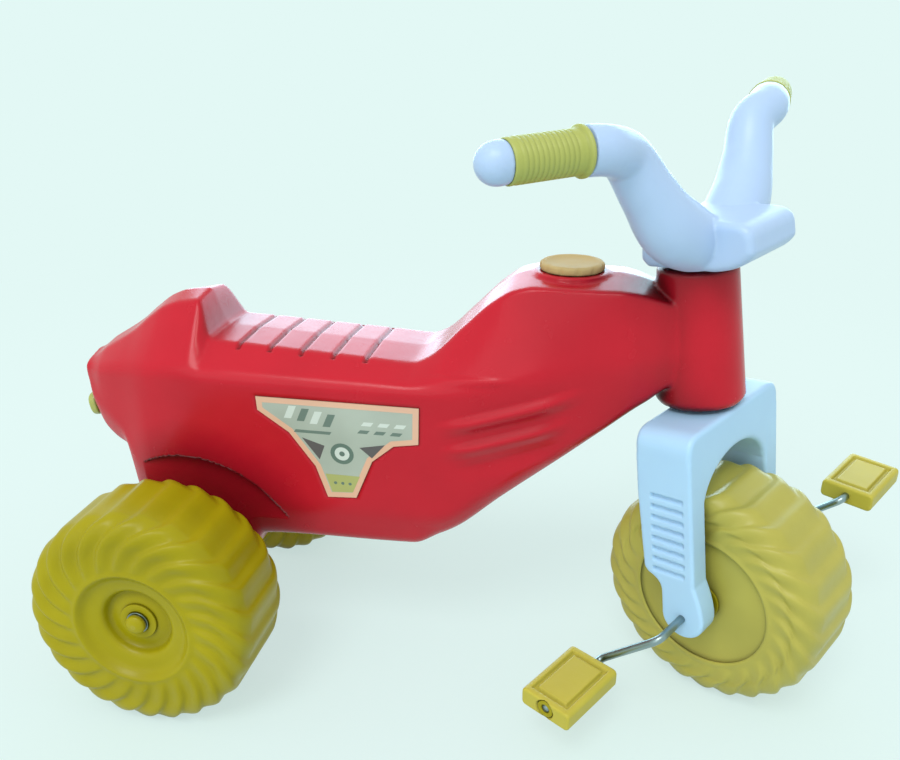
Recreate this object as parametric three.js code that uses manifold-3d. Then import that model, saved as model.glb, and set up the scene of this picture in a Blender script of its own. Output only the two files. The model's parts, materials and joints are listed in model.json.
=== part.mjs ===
// A children's ride-on pedal tricycle, shaped like a small motorcycle.
// Millimetres, +Z up. The tricycle rolls towards +X and its right side is -Y.
import * as THREE from "three";
import { mergeVertices } from "three/addons/utils/BufferGeometryUtils.js";
import Module from "manifold-3d";

const wasm = await Module();
wasm.setup();

// ---- Driving dimensions ----------------------------------------------------------------------
const wheelRadius = 105; // over the lugs
const wheelHalfWidth = 49;
const wheelWall = 3;
const lugCount = 24; // swirl lugs round each half of a wheel
const lugHeight = 3;
const lugSweep = 0.5; // radians that a lug trails between the tread and the side face
const treadShoulder = { flat: 19, side: 6, drop: 9 }; // how far its two bends are in and down
const bead = { width: 5, depth: 1 }; // the plain ring round a dish, below the lugs' crests
const hubBoreRadius = 13;
const hubRim = 5; // the flat round a hub's bore
// The dish in a wheel's side face: the radius of its rim, its steps as [radius, depth] pairs,
// and the hub's own depth below the side face.
const rearDish = { rim: 52, steps: [[46, 7], [34, 10], [29, 17.5]], hubDepth: 15.5 };
const frontDish = { rim: 62, steps: [[59, 5]], hubDepth: 5 };

const flankClearance = 21; // between a rear wheel and the flank
const wheelbase = 487; // from the rear axle to the steering axis at axle height
const axleRadius = 4;
const crankRodRadius = 3.6;
const runningGap = 0.3; // between a turning piece and its seat
const seatGap = 0.3; // between two pieces that rest on each other

const rake = 0.106; // radians that the steering axis leans back
const steerAngle = -0.553; // radians that the front wheel is turned at rest, to the rider's right
const forkOffset = 23.7; // from the steering axis forward to the front wheel's axle
const legClearance = 7; // between the front wheel and a leg's inner face
const legThickness = 24;
const crownClearance = 33; // over the front wheel
const crownThickness = 36;
const crownFront = 35; // ahead of the steering axis
const crownBack = 17; // behind it
const crownShoulder = 18; // how far a shoulder's curve reaches down and inwards
const legTipRadius = 20;

const headClearance = 3.3; // over the fork's crown
const headLength = 121.7;
const headTopRadius = 34;
const headBottomRadius = 39;
const steererRadius = 15;
const bushWall = 3.7;
const bushFlange = 2.4;
const boltRadius = 4;

const seatHalfWidth = 45;
const seatBack = 26;
const seatFirstGroove = 56;
const seatGroovePitch = 30;
const seatGrooveCount = 5;
const bodyWall = 5;
const archInset = 2; // how far the recess in the flank behind a rear wheel is inside its tread
const archHalfWidth = 54; // from the middle to the recess's floor
const sideTop = { halfWidth: 74, z: 298 }; // the flat flank's upper edge
const sideBottom = { halfWidth: 60, z: 165 }; // and its lower edge
const tankStart = 240; // ahead of the rear axle, where the seat ends
const axleOverFloor = 105; // of the rear axle, over the floor that the body's heights start from

const drawnCap = 351; // the fuel cap's middle in the body's lines
const capRadius = 28;
const capHeight = 6.5;
const fillerRadius = 20;
const tankTop = 391;

const crankRadius = 68;
const crankAngle = 0.6; // radians below the horizontal, towards the rear, of the right crank
const crankReach = 37; // from the fork's leg out to the crank arm
const crankFlare = 9; // how much further out the arm ends than it starts
const rodBendRadius = 8;
const pedalLength = 72;
const pedalWidth = 50;
const pedalThickness = 18;
const pedalTilt = 0.14; // radians that the pedals dip to the front at rest

const barRise = 113; // of the grips over the head's top
const barHalfSpan = 135; // from the middle to where a grip starts
const barSetback = 4; // of that point behind the steering axis
const gripSweep = 0.36; // radians that the grips point backwards
const gripRise = 0.03;
const gripInset = 9; // from the arm's end to the grip's flange
const gripLength = 62;
const gripRadius = 16.5;
const gripWall = 2;
const gripFlange = 2.5; // how far it stands out of the grip
const barEndLength = 22;
const barEndInset = 0.9; // of the bulb beyond the grip, inside the grip's outside
const stemBlock = { front: 68, back: 31, halfWidth: 40, height: 43 };

// What follows from them. Heights on the steering axis start at the front axle's height.
const wheelTrack = 2 * (sideTop.halfWidth + flankClearance + wheelHalfWidth);
const legInner = wheelHalfWidth + legClearance; // from the fork's middle
const legOuter = legInner + legThickness;
const crownUnder = wheelRadius + crownClearance;
const crownTop = crownUnder + crownThickness;
const headBottom = crownTop + headClearance;
const headTop = headBottom + headLength;
const crankBend = legOuter + crankReach; // from the wheel's middle to the crank arm
const barHeight = headTop + barRise;
const gripFlangeRadius = gripRadius + gripFlange;
const barEndRadius = gripRadius - barEndInset;

const colours = {
  red: 0xb8303f,
  lime: 0xb5b43e,
  ice: 0xb4d6f4,
  steel: 0x8fa0a6,
  black: 0x24262a,
  label: 0xb9b98a,
};

// ---- Helpers -----------------------------------------------------------------------------------
const TURN = 2 * Math.PI;

// A closed three.js geometry as a solid that can be joined and cut.
function solid(geometry) {
  const bare = geometry.index ? geometry.toNonIndexed() : geometry.clone();
  for (const name of Object.keys(bare.attributes)) {
    if (name !== "position") bare.deleteAttribute(name);
  }
  const merged = mergeVertices(bare, 1e-3);
  return new wasm.Manifold(
    new wasm.Mesh({
      numProp: 3,
      vertProperties: merged.attributes.position.array,
      triVerts: new Uint32Array(merged.index.array),
    }),
  );
}

function geometryOf(body) {
  const mesh = body.getMesh();
  const geometry = new THREE.BufferGeometry();
  geometry.setAttribute("position", new THREE.BufferAttribute(mesh.vertProperties, 3));
  geometry.setIndex(new THREE.BufferAttribute(mesh.triVerts, 1));
  geometry.computeVertexNormals();
  return geometry;
}

const join = (...bodies) => bodies.reduce((sum, body) => sum.add(body));
const cut = (body, ...tools) => tools.reduce((rest, tool) => rest.subtract(tool), body);

// A rod along Y from one y to another.
function rodY(radius, from, to, segments = 16) {
  const geometry = new THREE.CylinderGeometry(radius, radius, to - from, segments);
  return geometry.translate(0, (from + to) / 2, 0);
}

// The same along Z.
const rodZ = (radius, from, to, segments = 16) =>
  rodY(radius, from, to, segments).rotateX(Math.PI / 2);

// And along X.
const rodX = (radius, from, to, segments = 16) =>
  rodY(radius, from, to, segments).rotateZ(-Math.PI / 2);

// An even number of sides with which a round bore's flats still clear the round piece in it.
const boreSides = (radius, gap, least) =>
  Math.max(least, 2 * Math.ceil(Math.PI / Math.acos(radius / (radius + gap)) / 2));

// A revolved outline about Y: [radius, y] pairs listed so that the faces point out.
const revolveY = (outline, segments = 24) =>
  new THREE.LatheGeometry(
    outline.map(([radius, y]) => new THREE.Vector2(radius, y)),
    segments,
  );

// A sleeve along Y with a bore, an optional flange at its outer end, and its faces at y = from, to.
function sleeveY(radius, bore, from, to, flangeRadius = radius, flange = 0, segments = 12) {
  const outline = [
    [bore, from],
    [radius, from],
    [radius, to - flange],
    [flangeRadius, to - flange],
    [flangeRadius, to],
    [bore, to],
    [bore, from],
  ];
  const plain = flange === 0 ? outline.filter((point, i) => i !== 2 && i !== 3) : outline;
  return revolveY(plain, segments);
}

// Closed rings of points, each with as many points, skinned one after the other and capped.
function loft(rings) {
  const count = rings[0].length;
  const points = rings.flat();
  const triangles = [];
  for (let j = 0; j < rings.length - 1; j++) {
    for (let i = 0; i < count; i++) {
      const a = j * count + i;
      const b = j * count + ((i + 1) % count);
      triangles.push(a, b, a + count, b, b + count, a + count);
    }
  }
  const cap = (ring, first, flip) => {
    const middle = ring.reduce((sum, p) => sum.add(p), new THREE.Vector3());
    points.push(middle.divideScalar(count));
    for (let i = 0; i < count; i++) {
      const pair = [first + i, first + ((i + 1) % count)];
      triangles.push(points.length - 1, ...(flip ? pair.reverse() : pair));
    }
  };
  cap(rings[0], 0, true);
  cap(rings[rings.length - 1], (rings.length - 1) * count, false);
  const geometry = new THREE.BufferGeometry().setFromPoints(points);
  geometry.setIndex(triangles);
  return geometry;
}

// A smooth value along a line: knots are [position, value] pairs, joined by a monotone curve.
function along(knots, x) {
  const last = knots.length - 1;
  if (x <= knots[0][0]) return knots[0][1];
  if (x >= knots[last][0]) return knots[last][1];
  const k = knots.findIndex(([position]) => position > x) - 1;
  const slope = (i) => {
    if (i <= 0 || i >= last) return 0;
    const before = (knots[i][1] - knots[i - 1][1]) / (knots[i][0] - knots[i - 1][0]);
    const after = (knots[i + 1][1] - knots[i][1]) / (knots[i + 1][0] - knots[i][0]);
    return before * after <= 0 ? 0 : (2 * before * after) / (before + after);
  };
  const [x0, y0] = knots[k];
  const [x1, y1] = knots[k + 1];
  const span = x1 - x0;
  const t = (x - x0) / span;
  const rise = y1 - y0;
  const [m0, m1] = [slope(k) * span, slope(k + 1) * span];
  return y0 + t * (m0 + t * (3 * rise - 2 * m0 - m1 + t * (m0 + m1 - 2 * rise)));
}

function piece(name, shape, colour, roughness = 0.35, metalness = 0) {
  const geometry = shape.isBufferGeometry ? shape : geometryOf(shape);
  const material = new THREE.MeshStandardMaterial({ color: colours[colour], roughness, metalness });
  const mesh = new THREE.Mesh(geometry, material);
  mesh.name = name;
  return mesh;
}

const SIDES = [
  { name: "right", sign: -1 },
  { name: "left", sign: 1 },
];

function flipFaces(geometry) {
  const faces = geometry.index ? geometry.toNonIndexed() : geometry;
  const position = faces.getAttribute("position");
  const points = [];
  for (let i = 0; i < position.count; i += 3) {
    for (const k of [i, i + 2, i + 1]) {
      points.push(new THREE.Vector3().fromBufferAttribute(position, k));
    }
  }
  return new THREE.BufferGeometry().setFromPoints(points);
}

// A shape made for the left side, as it is there or mirrored to the right side.
function onSide(sign, geometry) {
  if (sign > 0) return geometry;
  return flipFaces(geometry.clone().applyMatrix4(new THREE.Matrix4().makeScale(1, -1, 1)));
}

// The line one wall inside an open outline, whose outer side is on its right.
function insetLine(points, wall) {
  const steps = points.slice(1).map((p, i) => new THREE.Vector2().subVectors(p, points[i]));
  const normals = steps.map((step) => new THREE.Vector2(step.y, -step.x).normalize());
  return points.map((p, i) => {
    const before = normals[Math.max(i - 1, 0)];
    const after = normals[Math.min(i, normals.length - 1)];
    const corner = before.clone().add(after).divideScalar(1 + before.dot(after));
    return p.clone().addScaledVector(corner, -wall);
  });
}

// A flat outline, given as a THREE.Shape, as a prism between two planes.
function prism(shape, from, to, xAxis, yAxis, bevel = 0, steps = 2) {
  const geometry = new THREE.ExtrudeGeometry(shape, {
    depth: to - from - 2 * bevel,
    bevelEnabled: bevel > 0,
    bevelThickness: bevel,
    bevelSize: bevel,
    bevelOffset: -bevel,
    bevelSegments: Math.min(2, steps - 1),
    curveSegments: steps,
  });
  geometry.translate(0, 0, from + bevel);
  const zAxis = new THREE.Vector3().crossVectors(xAxis, yAxis);
  return geometry.applyMatrix4(new THREE.Matrix4().makeBasis(xAxis, yAxis, zAxis));
}

const X = new THREE.Vector3(1, 0, 0);
const Y = new THREE.Vector3(0, 1, 0);
const Z = new THREE.Vector3(0, 0, 1);
// Prisms along one axis: of a (y, z) outline along X, of (x, z) along Y, and of (x, y) along Z.
const prismX = (shape, from, to, ...edge) => prism(shape, from, to, Y, Z, ...edge);
const prismY = (shape, from, to, ...edge) => prism(shape, -to, -from, X, Z, ...edge);
const prismZ = (shape, from, to, ...edge) => prism(shape, from, to, X, Y, ...edge);

const outlineOf = (corners) => new THREE.Shape(corners.map(([x, y]) => new THREE.Vector2(x, y)));

function roundedBox(x0, y0, x1, y1, radius) {
  const shape = new THREE.Shape();
  shape.moveTo(x0 + radius, y0);
  shape.lineTo(x1 - radius, y0);
  shape.absarc(x1 - radius, y0 + radius, radius, -TURN / 4, 0);
  shape.lineTo(x1, y1 - radius);
  shape.absarc(x1 - radius, y1 - radius, radius, 0, TURN / 4);
  shape.lineTo(x0 + radius, y1);
  shape.absarc(x0 + radius, y1 - radius, radius, TURN / 4, TURN / 2);
  shape.lineTo(x0, y0 + radius);
  shape.absarc(x0 + radius, y0 + radius, radius, TURN / 2, (3 * TURN) / 4);
  return shape;
}

// ---- Wheels --------------------------------------------------------------------------------------
const treadRadius = wheelRadius - lugHeight;
const sideFace = wheelHalfWidth - lugHeight; // between the lugs, from the wheel's middle

// Half of the wheel's outside without lugs, from the tread's flat to the rim of the dish:
// [radius, distance from the middle, the lug's rise outwards and sideways, share of its sweep].
const treadRows = ({ rim }) => [
  [treadRadius, wheelHalfWidth - treadShoulder.flat, 1, 0, 0],
  [treadRadius - treadShoulder.drop, wheelHalfWidth - treadShoulder.side, 0.8, 0.6, 0.35],
  [(treadRadius + rim) / 2, sideFace, 0, 1, 0.75],
  [rim + bead.width, wheelHalfWidth - bead.depth, 0, 0, 1],
];

// The dish from its rim to the hub: [radius, distance from the middle].
const dishRows = ({ rim, steps, hubDepth }) => [
  [rim, wheelHalfWidth - bead.depth],
  ...steps.map(([radius, depth]) => [radius, wheelHalfWidth - depth]),
  [hubBoreRadius + hubRim, wheelHalfWidth - hubDepth],
];

// One ring of the wheel's outside: each lug rises steeply from its valley to a crest and falls
// slowly. The lowest two crests are level, so that the wheel stands on both.
const crestPlace = 0.35; // of the pitch, from the valley
function wheelRing([radius, offset, outwards, sideways, sweep], side) {
  return Array.from({ length: 2 * lugCount }, (unused, i) => {
    const crest = i % 2 === 1;
    const lug = crest ? lugHeight : 0;
    const pitches = Math.floor(i / 2) + (crest ? 0.5 : 0.5 - crestPlace);
    const angle = (pitches / lugCount) * TURN - sweep * lugSweep;
    const r = radius + outwards * lug;
    const y = side * (offset + sideways * lug);
    return new THREE.Vector3(r * Math.sin(angle), y, r * Math.cos(angle));
  });
}

// A line of [radius, y] pairs on the +Y side, after its mirror image on the -Y side.
const bothSides = (line) => [...line.toReversed().map(([r, y]) => [r, -y]), ...line];

const hubBoreSides = boreSides(hubBoreRadius - seatGap, seatGap, 16);

// A hollow moulded wheel round the Y axis, open at its hub bores.
function wheelShell(dish) {
  const outside = wheelHalfWidth + 5;
  const tread = treadRows(dish);
  const rows = dishRows(dish);
  const hubFace = wheelHalfWidth - dish.hubDepth;
  const rings = [
    ...tread.toReversed().map((row) => wheelRing(row, -1)),
    ...tread.map((row) => wheelRing(row, 1)),
  ];
  const bowl = revolveY(
    [[0, hubFace], ...rows.toReversed(), [dish.rim, outside], [0, outside]],
    20,
  );
  const face = [...tread.slice(0, -1), ...rows.slice(0, -1)];
  const wall = face.map(([r, y]) => new THREE.Vector2(r, y));
  const inside = insetLine(wall, wheelWall).map(({ x, y }) => [x, y]);
  inside.push([0, inside[inside.length - 1][1]]);
  return cut(
    solid(loft(rings)),
    solid(bowl),
    solid(onSide(-1, bowl)),
    solid(revolveY(bothSides(inside), 12)),
    solid(rodY(hubBoreRadius, -wheelHalfWidth, wheelHalfWidth, hubBoreSides)),
  );
}

// A flanged bush in one hub bore of a wheel, on its +Y side.
const bushFlangeThickness = 2.3;
const bushDepth = 12; // how far a bush reaches into its bore
const hubBushFace = ({ hubDepth }) => wheelHalfWidth - hubDepth + seatGap + bushFlangeThickness;
function hubBush(dish, boreRadius) {
  const face = hubBushFace(dish);
  return sleeveY(
    hubBoreRadius - seatGap,
    boreRadius,
    face - bushFlangeThickness - bushDepth,
    face,
    hubBoreRadius + hubRim - 1,
    bushFlangeThickness,
  );
}

// ---- Body ----------------------------------------------------------------------------------------
// How the body's half section runs along its length: [x, value] pairs, as drawn for one place
// of the head. Ahead of the seat the lines stretch and rise with the head.
const seatTop = 322;
const keel = 121;
const lowest = 82; // of the housing round the rear axle
const tail = -118;
const drawnHead = { x: 487, z: 177.3 }; // from the rear axle, of the head tube's lower end
const tankShare = (x) => Math.max(0, (x - tankStart) / (drawnHead.x - tankStart));
const ahead = (x) => x + (wheelbase - drawnHead.x) * tankShare(x);
const lift = (x) => (headBottom - drawnHead.z) * tankShare(x);
const drawnLines = {
  topZ: [
    [tail, 290], [-95, 304], [-64, 323], [-44, 339], [-28, 350], [-11, 356], [10, 358],
    [seatBack, 324], [62, 322], [120, 319], [180, 316], [216, 314], [230, 319],
    [262, 349], [288, 375], [306, 387], [325, tankTop], [392, tankTop], [406, 389], [420, 385],
    [445, 378],
  ],
  topHalf: [
    [tail, 20], [-64, 24], [-20, 26], [10, 29], [seatBack, 43], [62, seatHalfWidth],
    [200, seatHalfWidth],
    [232, 43], [262, 41], [306, 47], [392, 46], [420, 38], [445, 30],
  ],
  topDrop: [
    [tail, 5], [-20, 6], [10, 4], [seatBack, 2], [222, 2], [262, 3], [306, 5], [445, 6],
  ],
  shoulderZ: [
    [tail, 281], [-64, 290], [0, sideTop.z], [240, sideTop.z], [317, 312], [370, 322], [445, 330],
  ],
  shoulderHalf: [
    [tail, 28], [-95, 41], [-64, 53], [-30, 65], [20, 73], [60, sideTop.halfWidth],
    [240, sideTop.halfWidth], [317, 72], [360, 64], [405, 51], [425, 41], [445, 33],
  ],
  bellyZ: [
    [tail, 270], [-112, 250], [-95, 236], [-74, 216], [-60, 188], [-40, sideBottom.z],
    [240, sideBottom.z], [288, 196], [340, 234], [385, 264], [420, 290], [445, 302],
  ],
  bellyHalf: [
    [tail, 27], [-112, 33], [-95, 40], [-66, 49], [-40, 57], [60, sideBottom.halfWidth],
    [240, sideBottom.halfWidth], [288, 59], [340, 55], [385, 49], [420, 40], [445, 31],
  ],
  bottomZ: [
    [tail, 262], [-112, 230], [-102, 211], [-90, 203], [-76, 199], [-70, 150], [-58, 98],
    [-40, lowest], [34, lowest], [48, 98], [62, keel - 3], [90, keel], [215, keel + 4], [240, 138],
    [261, 151], [298, 184], [351, 228], [385, 257], [420, 285], [445, 300],
  ],
  bottomHalf: [
    [tail, 22], [-102, 30], [-66, 40], [-40, 46], [215, 46], [261, 45], [351, 41], [420, 34],
    [445, 28],
  ],
};
const placeKnot = (line, x, value) => [ahead(x), value + (line.endsWith("Z") ? lift(x) : 0)];
const bodyLines = Object.fromEntries(
  Object.entries(drawnLines).map(([line, knots]) => [
    line,
    knots.map(([x, value]) => placeKnot(line, x, value)),
  ]),
);

const headStart = ahead(420); // where the hollow ends, behind the head tube
const cornerRadius = { top: 3.5, shoulder: 9, belly: 9, bottom: 14 };
const cornerSteps = 2;

// A corner of the half section as a short curve, so that every section has as many points.
function roundedCorner(before, corner, after, radius, steps) {
  const toBefore = new THREE.Vector2().subVectors(before, corner);
  const toAfter = new THREE.Vector2().subVectors(after, corner);
  const reach = Math.min(radius, 0.45 * toBefore.length(), 0.45 * toAfter.length());
  const start = corner.clone().add(toBefore.setLength(reach));
  const end = corner.clone().add(toAfter.setLength(reach));
  return new THREE.QuadraticBezierCurve(start, corner, end).getPoints(steps);
}

// The body's section at x, drawn in by a wall, as a closed ring.
function bodySection(x, wall = 0, steps = cornerSteps) {
  // A wall on a slope needs the narrowest outline within its own thickness.
  const reach = wall === 0 ? [0] : [-wall, 0, wall];
  const least = (line) => Math.min(...reach.map((step) => along(bodyLines[line], x + step)));
  const most = (line) => Math.max(...reach.map((step) => along(bodyLines[line], x + step)));
  const topZ = least("topZ") - wall;
  const drop = along(bodyLines.topDrop, x);
  const bottomZ = most("bottomZ") + wall;
  const corners = [
    new THREE.Vector2(0, bottomZ),
    new THREE.Vector2(least("bottomHalf") - wall / 2, bottomZ),
    new THREE.Vector2(least("bellyHalf") - wall, Math.max(most("bellyZ"), bottomZ + 3)),
    new THREE.Vector2(least("shoulderHalf") - wall, least("shoulderZ")),
    new THREE.Vector2(least("topHalf") - wall / 2, topZ - drop),
    new THREE.Vector2(0, topZ),
  ];
  const radii = [0, cornerRadius.bottom, cornerRadius.belly, cornerRadius.shoulder, cornerRadius.top];
  const half = [corners[0]];
  for (let i = 1; i < 5; i++) {
    half.push(...roundedCorner(corners[i - 1], corners[i], corners[i + 1], radii[i], steps));
  }
  half.push(corners[5]);
  const left = half.map((p) => new THREE.Vector3(x, p.x, p.y));
  const right = half.slice(1, -1).map((p) => new THREE.Vector3(x, -p.x, p.y));
  return [...left, ...right.reverse()];
}

const bodyStations = [
  tail, -112, -102, -88, -76, -70, -62, -54, -40, -26, -8, 10, 18, seatBack, 62, 140, 216,
  228, 240, 262, 288, 306, 325, 350, 380, 394, 408, 424, 445,
].map(ahead);

// The half width of the body's lower flank at a place, between its belly and its shoulder.
function flankHalfWidth(x, z) {
  const [z0, z1] = [along(bodyLines.bellyZ, x), along(bodyLines.shoulderZ, x)];
  const [h0, h1] = [along(bodyLines.bellyHalf, x), along(bodyLines.shoulderHalf, x)];
  return h0 + ((h1 - h0) * (z - z0)) / (z1 - z0);
}

// The steering axis in the body's frame, and the turned fork's frame on it.
const headMatrix = new THREE.Matrix4()
  .makeTranslation(wheelbase, 0, axleOverFloor)
  .multiply(new THREE.Matrix4().makeRotationY(-rake));

function headTube() {
  const outline = [
    [0, headBottom],
    [headBottomRadius - 3, headBottom],
    [headBottomRadius, headBottom + 5],
    [headTopRadius, headTop - 3],
    [headTopRadius - 3, headTop],
    [0, headTop],
  ];
  return revolveY(outline, 28).rotateX(Math.PI / 2).applyMatrix4(headMatrix);
}

const bushSides = boreSides(steererRadius, seatGap, 16); // of the steering bushes and their seats

function steeringBore() {
  const radius = steererRadius + seatGap + bushWall + seatGap;
  return rodZ(radius, headBottom - 20, headTop + 20, bushSides).applyMatrix4(headMatrix);
}

// A narrow round groove across the seat between two of its pads.
function seatGroove(x) {
  const z = along(bodyLines.topZ, x);
  const edge = z - along(bodyLines.topDrop, x);
  const rail = along(bodyLines.topHalf, x);
  const path = new THREE.CatmullRomCurve3([
    new THREE.Vector3(x, -rail - 6, edge - 9),
    new THREE.Vector3(x, -rail + 6, edge + 0.5),
    new THREE.Vector3(x, 0, z + 0.6),
    new THREE.Vector3(x, rail - 6, edge + 0.5),
    new THREE.Vector3(x, rail + 6, edge - 9),
  ]);
  const section = new THREE.Shape().absarc(0, 0, 2.8, 0, TURN);
  return new THREE.ExtrudeGeometry(section, { steps: 4, curveSegments: 3, extrudePath: path });
}

// A long, low ridge on the left flank from one point to another: { from: [x, z], to: [x, z] }.
const flankRidge = { halfWidth: 8, height: 3.5, rings: 6, sides: 6 };
function ridgeOn({ from, to }) {
  const { halfWidth, height, rings, sides } = flankRidge;
  const ringAt = (unused, i) => {
    const share = i / (rings - 1);
    const x = THREE.MathUtils.lerp(from[0], to[0], share);
    const z = THREE.MathUtils.lerp(from[1], to[1], share);
    const swell = 0.15 + 0.85 * Math.sin(Math.PI * share) ** 0.5;
    return Array.from({ length: sides }, (alsoUnused, k) => {
      const angle = (k / sides) * TURN;
      const out = flankHalfWidth(x, z) + height * swell * Math.cos(angle);
      return new THREE.Vector3(x, out, z + halfWidth * swell * Math.sin(angle));
    });
  };
  return loft(Array.from({ length: rings }, ringAt));
}

const onFlank = (x, z) => [ahead(x), z + lift(x)];
const ridgeLines = [
  { from: onFlank(238, 259), to: onFlank(376, 303) },
  { from: onFlank(242, 235), to: onFlank(366, 275) },
];

// The label's outline on the flat flank: [x, z].
const labelOutline = [
  [79, 267], [79, 281], [230, 281], [228, 244], [205, 240], [184, 222], [166, 181], [138, 179],
  [129, 212], [107, 246],
];
const labelPocket = 1;
const labelThickness = 0.8;

// A plate of the label's outline on the left flank, between two heights over the flank.
function labelPlate(inset, from, to) {
  const tilt = Math.atan2(sideTop.halfWidth - sideBottom.halfWidth, sideTop.z - sideBottom.z);
  const middle = { x: 154, z: 240 };
  const corners = labelOutline.map(([x, z]) => {
    const away = new THREE.Vector2(x - middle.x, z - middle.z);
    away.setLength(away.length() - inset);
    return [middle.x + away.x, (middle.z + away.y - sideBottom.z) / Math.cos(tilt)];
  });
  const up = new THREE.Vector3(0, Math.sin(tilt), Math.cos(tilt));
  // The outline's own normal points into the body, so heights over the flank are negative.
  const plate = prism(outlineOf(corners), -to, -from, X, up);
  return plate.translate(0, sideBottom.halfWidth, sideBottom.z);
}

// The recess in the left flank round a rear wheel, or the same grown by a wall.
function wheelArch(wall = 0) {
  const radius = wheelRadius - archInset + wall;
  const beyond = sideTop.halfWidth + 20;
  return rodY(radius, archHalfWidth - wall, beyond, 36).translate(0, 0, axleOverFloor);
}

// The body's raised seat for the fuel cap, and its filler neck.
const capCentre = ahead(drawnCap);
const capSeat = tankTop + lift(drawnCap) + 1;
const axleBoss = { radius: 15, start: archHalfWidth - 14, end: sideTop.halfWidth - 2 };

// The tail lamp sits square on the tail's rear wall, a little above its lower lip.
const lamp = { halfWidth: 27, halfHeight: 12, depth: 9, centreZ: 237, stub: 8 };
function lampPlace(geometry) {
  const [[x0, z0], [x1, z1]] = bodyLines.bottomZ;
  const share = (lamp.centreZ - z0) / (z1 - z0);
  const lean = Math.atan2(x1 - x0, z0 - z1); // the wall leans forward going down
  return geometry.rotateY(-lean).translate(x0 + (x1 - x0) * share, 0, lamp.centreZ);
}

function bodyShell() {
  const outside = solid(loft(bodyStations.map((x) => bodySection(x))));
  const hollow = bodyStations.filter((x, i) => i % 2 === 1 && x < headStart);
  const cavity = solid(loft(hollow.map((x) => bodySection(x, bodyWall, 1))));
  const arches = SIDES.map(({ sign }) => solid(onSide(sign, wheelArch())));
  const archWalls = SIDES.map(({ sign }) => solid(onSide(sign, wheelArch(bodyWall))));
  const capRing = rodZ(capRadius + 5, capSeat - 8, capSeat).translate(capCentre, 0, 0);
  const capSpace = rodZ(capRadius + 5, capSeat, capSeat + 40).translate(capCentre, 0, 0);
  const filler = rodZ(fillerRadius + seatGap, capSeat - 30, capSeat + 5, 24).translate(capCentre, 0, 0);
  const boss = rodY(axleBoss.radius, axleBoss.start, axleBoss.end).translate(0, 0, axleOverFloor);
  const bosses = SIDES.map(({ sign }) => solid(onSide(sign, boss)));
  const axleBore = rodY(axleRadius + seatGap, -100, 100).translate(0, 0, axleOverFloor);
  const lampHole = lampPlace(rodX(lamp.stub + seatGap, -10, 20));
  const grooves = Array.from({ length: seatGrooveCount }, (unused, i) =>
    solid(seatGroove(seatFirstGroove + seatGroovePitch * i)),
  );
  const ridges = SIDES.flatMap(({ sign }) =>
    ridgeLines.map((line) => solid(onSide(sign, ridgeOn(line)))),
  );
  const pockets = SIDES.map(({ sign }) => solid(onSide(sign, labelPlate(0, -labelPocket, 6))));
  const whole = join(
    cut(outside, cut(cavity, ...archWalls), ...arches, solid(capSpace)),
    solid(headTube()),
    solid(capRing),
    ...bosses,
    ...ridges,
  );
  return cut(
    whole,
    solid(filler),
    solid(axleBore),
    solid(lampHole),
    solid(steeringBore()),
    ...grooves,
    ...pockets,
  );
}

function fuelCap() {
  const lift = capSeat + seatGap;
  const outline = [
    [0, lift - 12],
    [fillerRadius - 2, lift - 12],
    [fillerRadius, lift - 10],
    [fillerRadius, lift],
    [capRadius - 0.5, lift],
    [capRadius, lift + 1],
    [capRadius, lift + capHeight - 1.5],
    [capRadius - 2, lift + capHeight],
    [0, lift + capHeight],
  ];
  const notches = 12;
  const cap = solid(revolveY(outline, notches * 2).rotateX(Math.PI / 2));
  const grip = Array.from({ length: notches }, (unused, i) => {
    const angle = (i / notches) * TURN;
    const notch = rodZ(2.4, lift - 1, lift + capHeight + 1, 5);
    const reach = capRadius + 1.2;
    return solid(notch.translate(reach * Math.cos(angle), reach * Math.sin(angle), 0));
  });
  return geometryOf(cut(cap, ...grip)).translate(capCentre, 0, 0);
}

// A lens like a rounded bar, with a stub that plugs into the body.
function tailLamp() {
  const { halfWidth, halfHeight, depth, stub } = lamp;
  const face = roundedBox(-halfWidth, -halfHeight, halfWidth, halfHeight, halfHeight - 1);
  const lens = prismX(face, -depth, -seatGap, 2.5, 3);
  return geometryOf(join(solid(lens), solid(rodX(stub, -2, 14))));
}

function steeringBush(upper) {
  const bore = steererRadius + seatGap;
  const outer = bore + bushWall;
  const sleeve = sleeveY(outer, bore, 0, 20 + bushFlange, outer + 7, bushFlange, bushSides);
  const turned = sleeve.rotateX(Math.PI / 2); // flange up
  if (upper) return turned.translate(0, 0, headTop - 20 + seatGap);
  return turned.rotateX(Math.PI).translate(0, 0, headBottom + 20 - seatGap);
}

// ---- Rear axle -----------------------------------------------------------------------------------
const rearHubFace = wheelTrack / 2 - hubBushFace(rearDish); // the inner bush's face
const rearOuterFace = wheelTrack / 2 + hubBushFace(rearDish);
const washerThickness = 1.5;
const rearEndCap = { radius: 9, length: 7, wall: 1.5 };

const washerRadius = 10; // and the spacer's

const axleSpacer = () =>
  sleeveY(washerRadius, axleRadius + seatGap, axleBoss.end + seatGap, rearHubFace - seatGap);

function axleWasher() {
  const start = rearOuterFace + seatGap;
  return sleeveY(washerRadius, axleRadius + seatGap, start, start + washerThickness);
}

// A push-on domed cap on the axle's end, which keeps the wheel on.
const endCapStart = rearOuterFace + washerThickness + 2 * seatGap;
const endCapBore = endCapStart + rearEndCap.length - rearEndCap.wall; // where its blind bore ends
function axleEndCap() {
  const { radius, length } = rearEndCap;
  const end = endCapStart + length;
  const outline = [
    [0, endCapBore],
    [axleRadius + seatGap, endCapBore],
    [axleRadius + seatGap, endCapStart],
    [radius, endCapStart],
    [radius, end - 4],
    [0.8 * radius, end - 1.5],
    [0.4 * radius, end - 0.3],
    [0, end],
  ];
  return revolveY(outline, 16);
}

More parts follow.
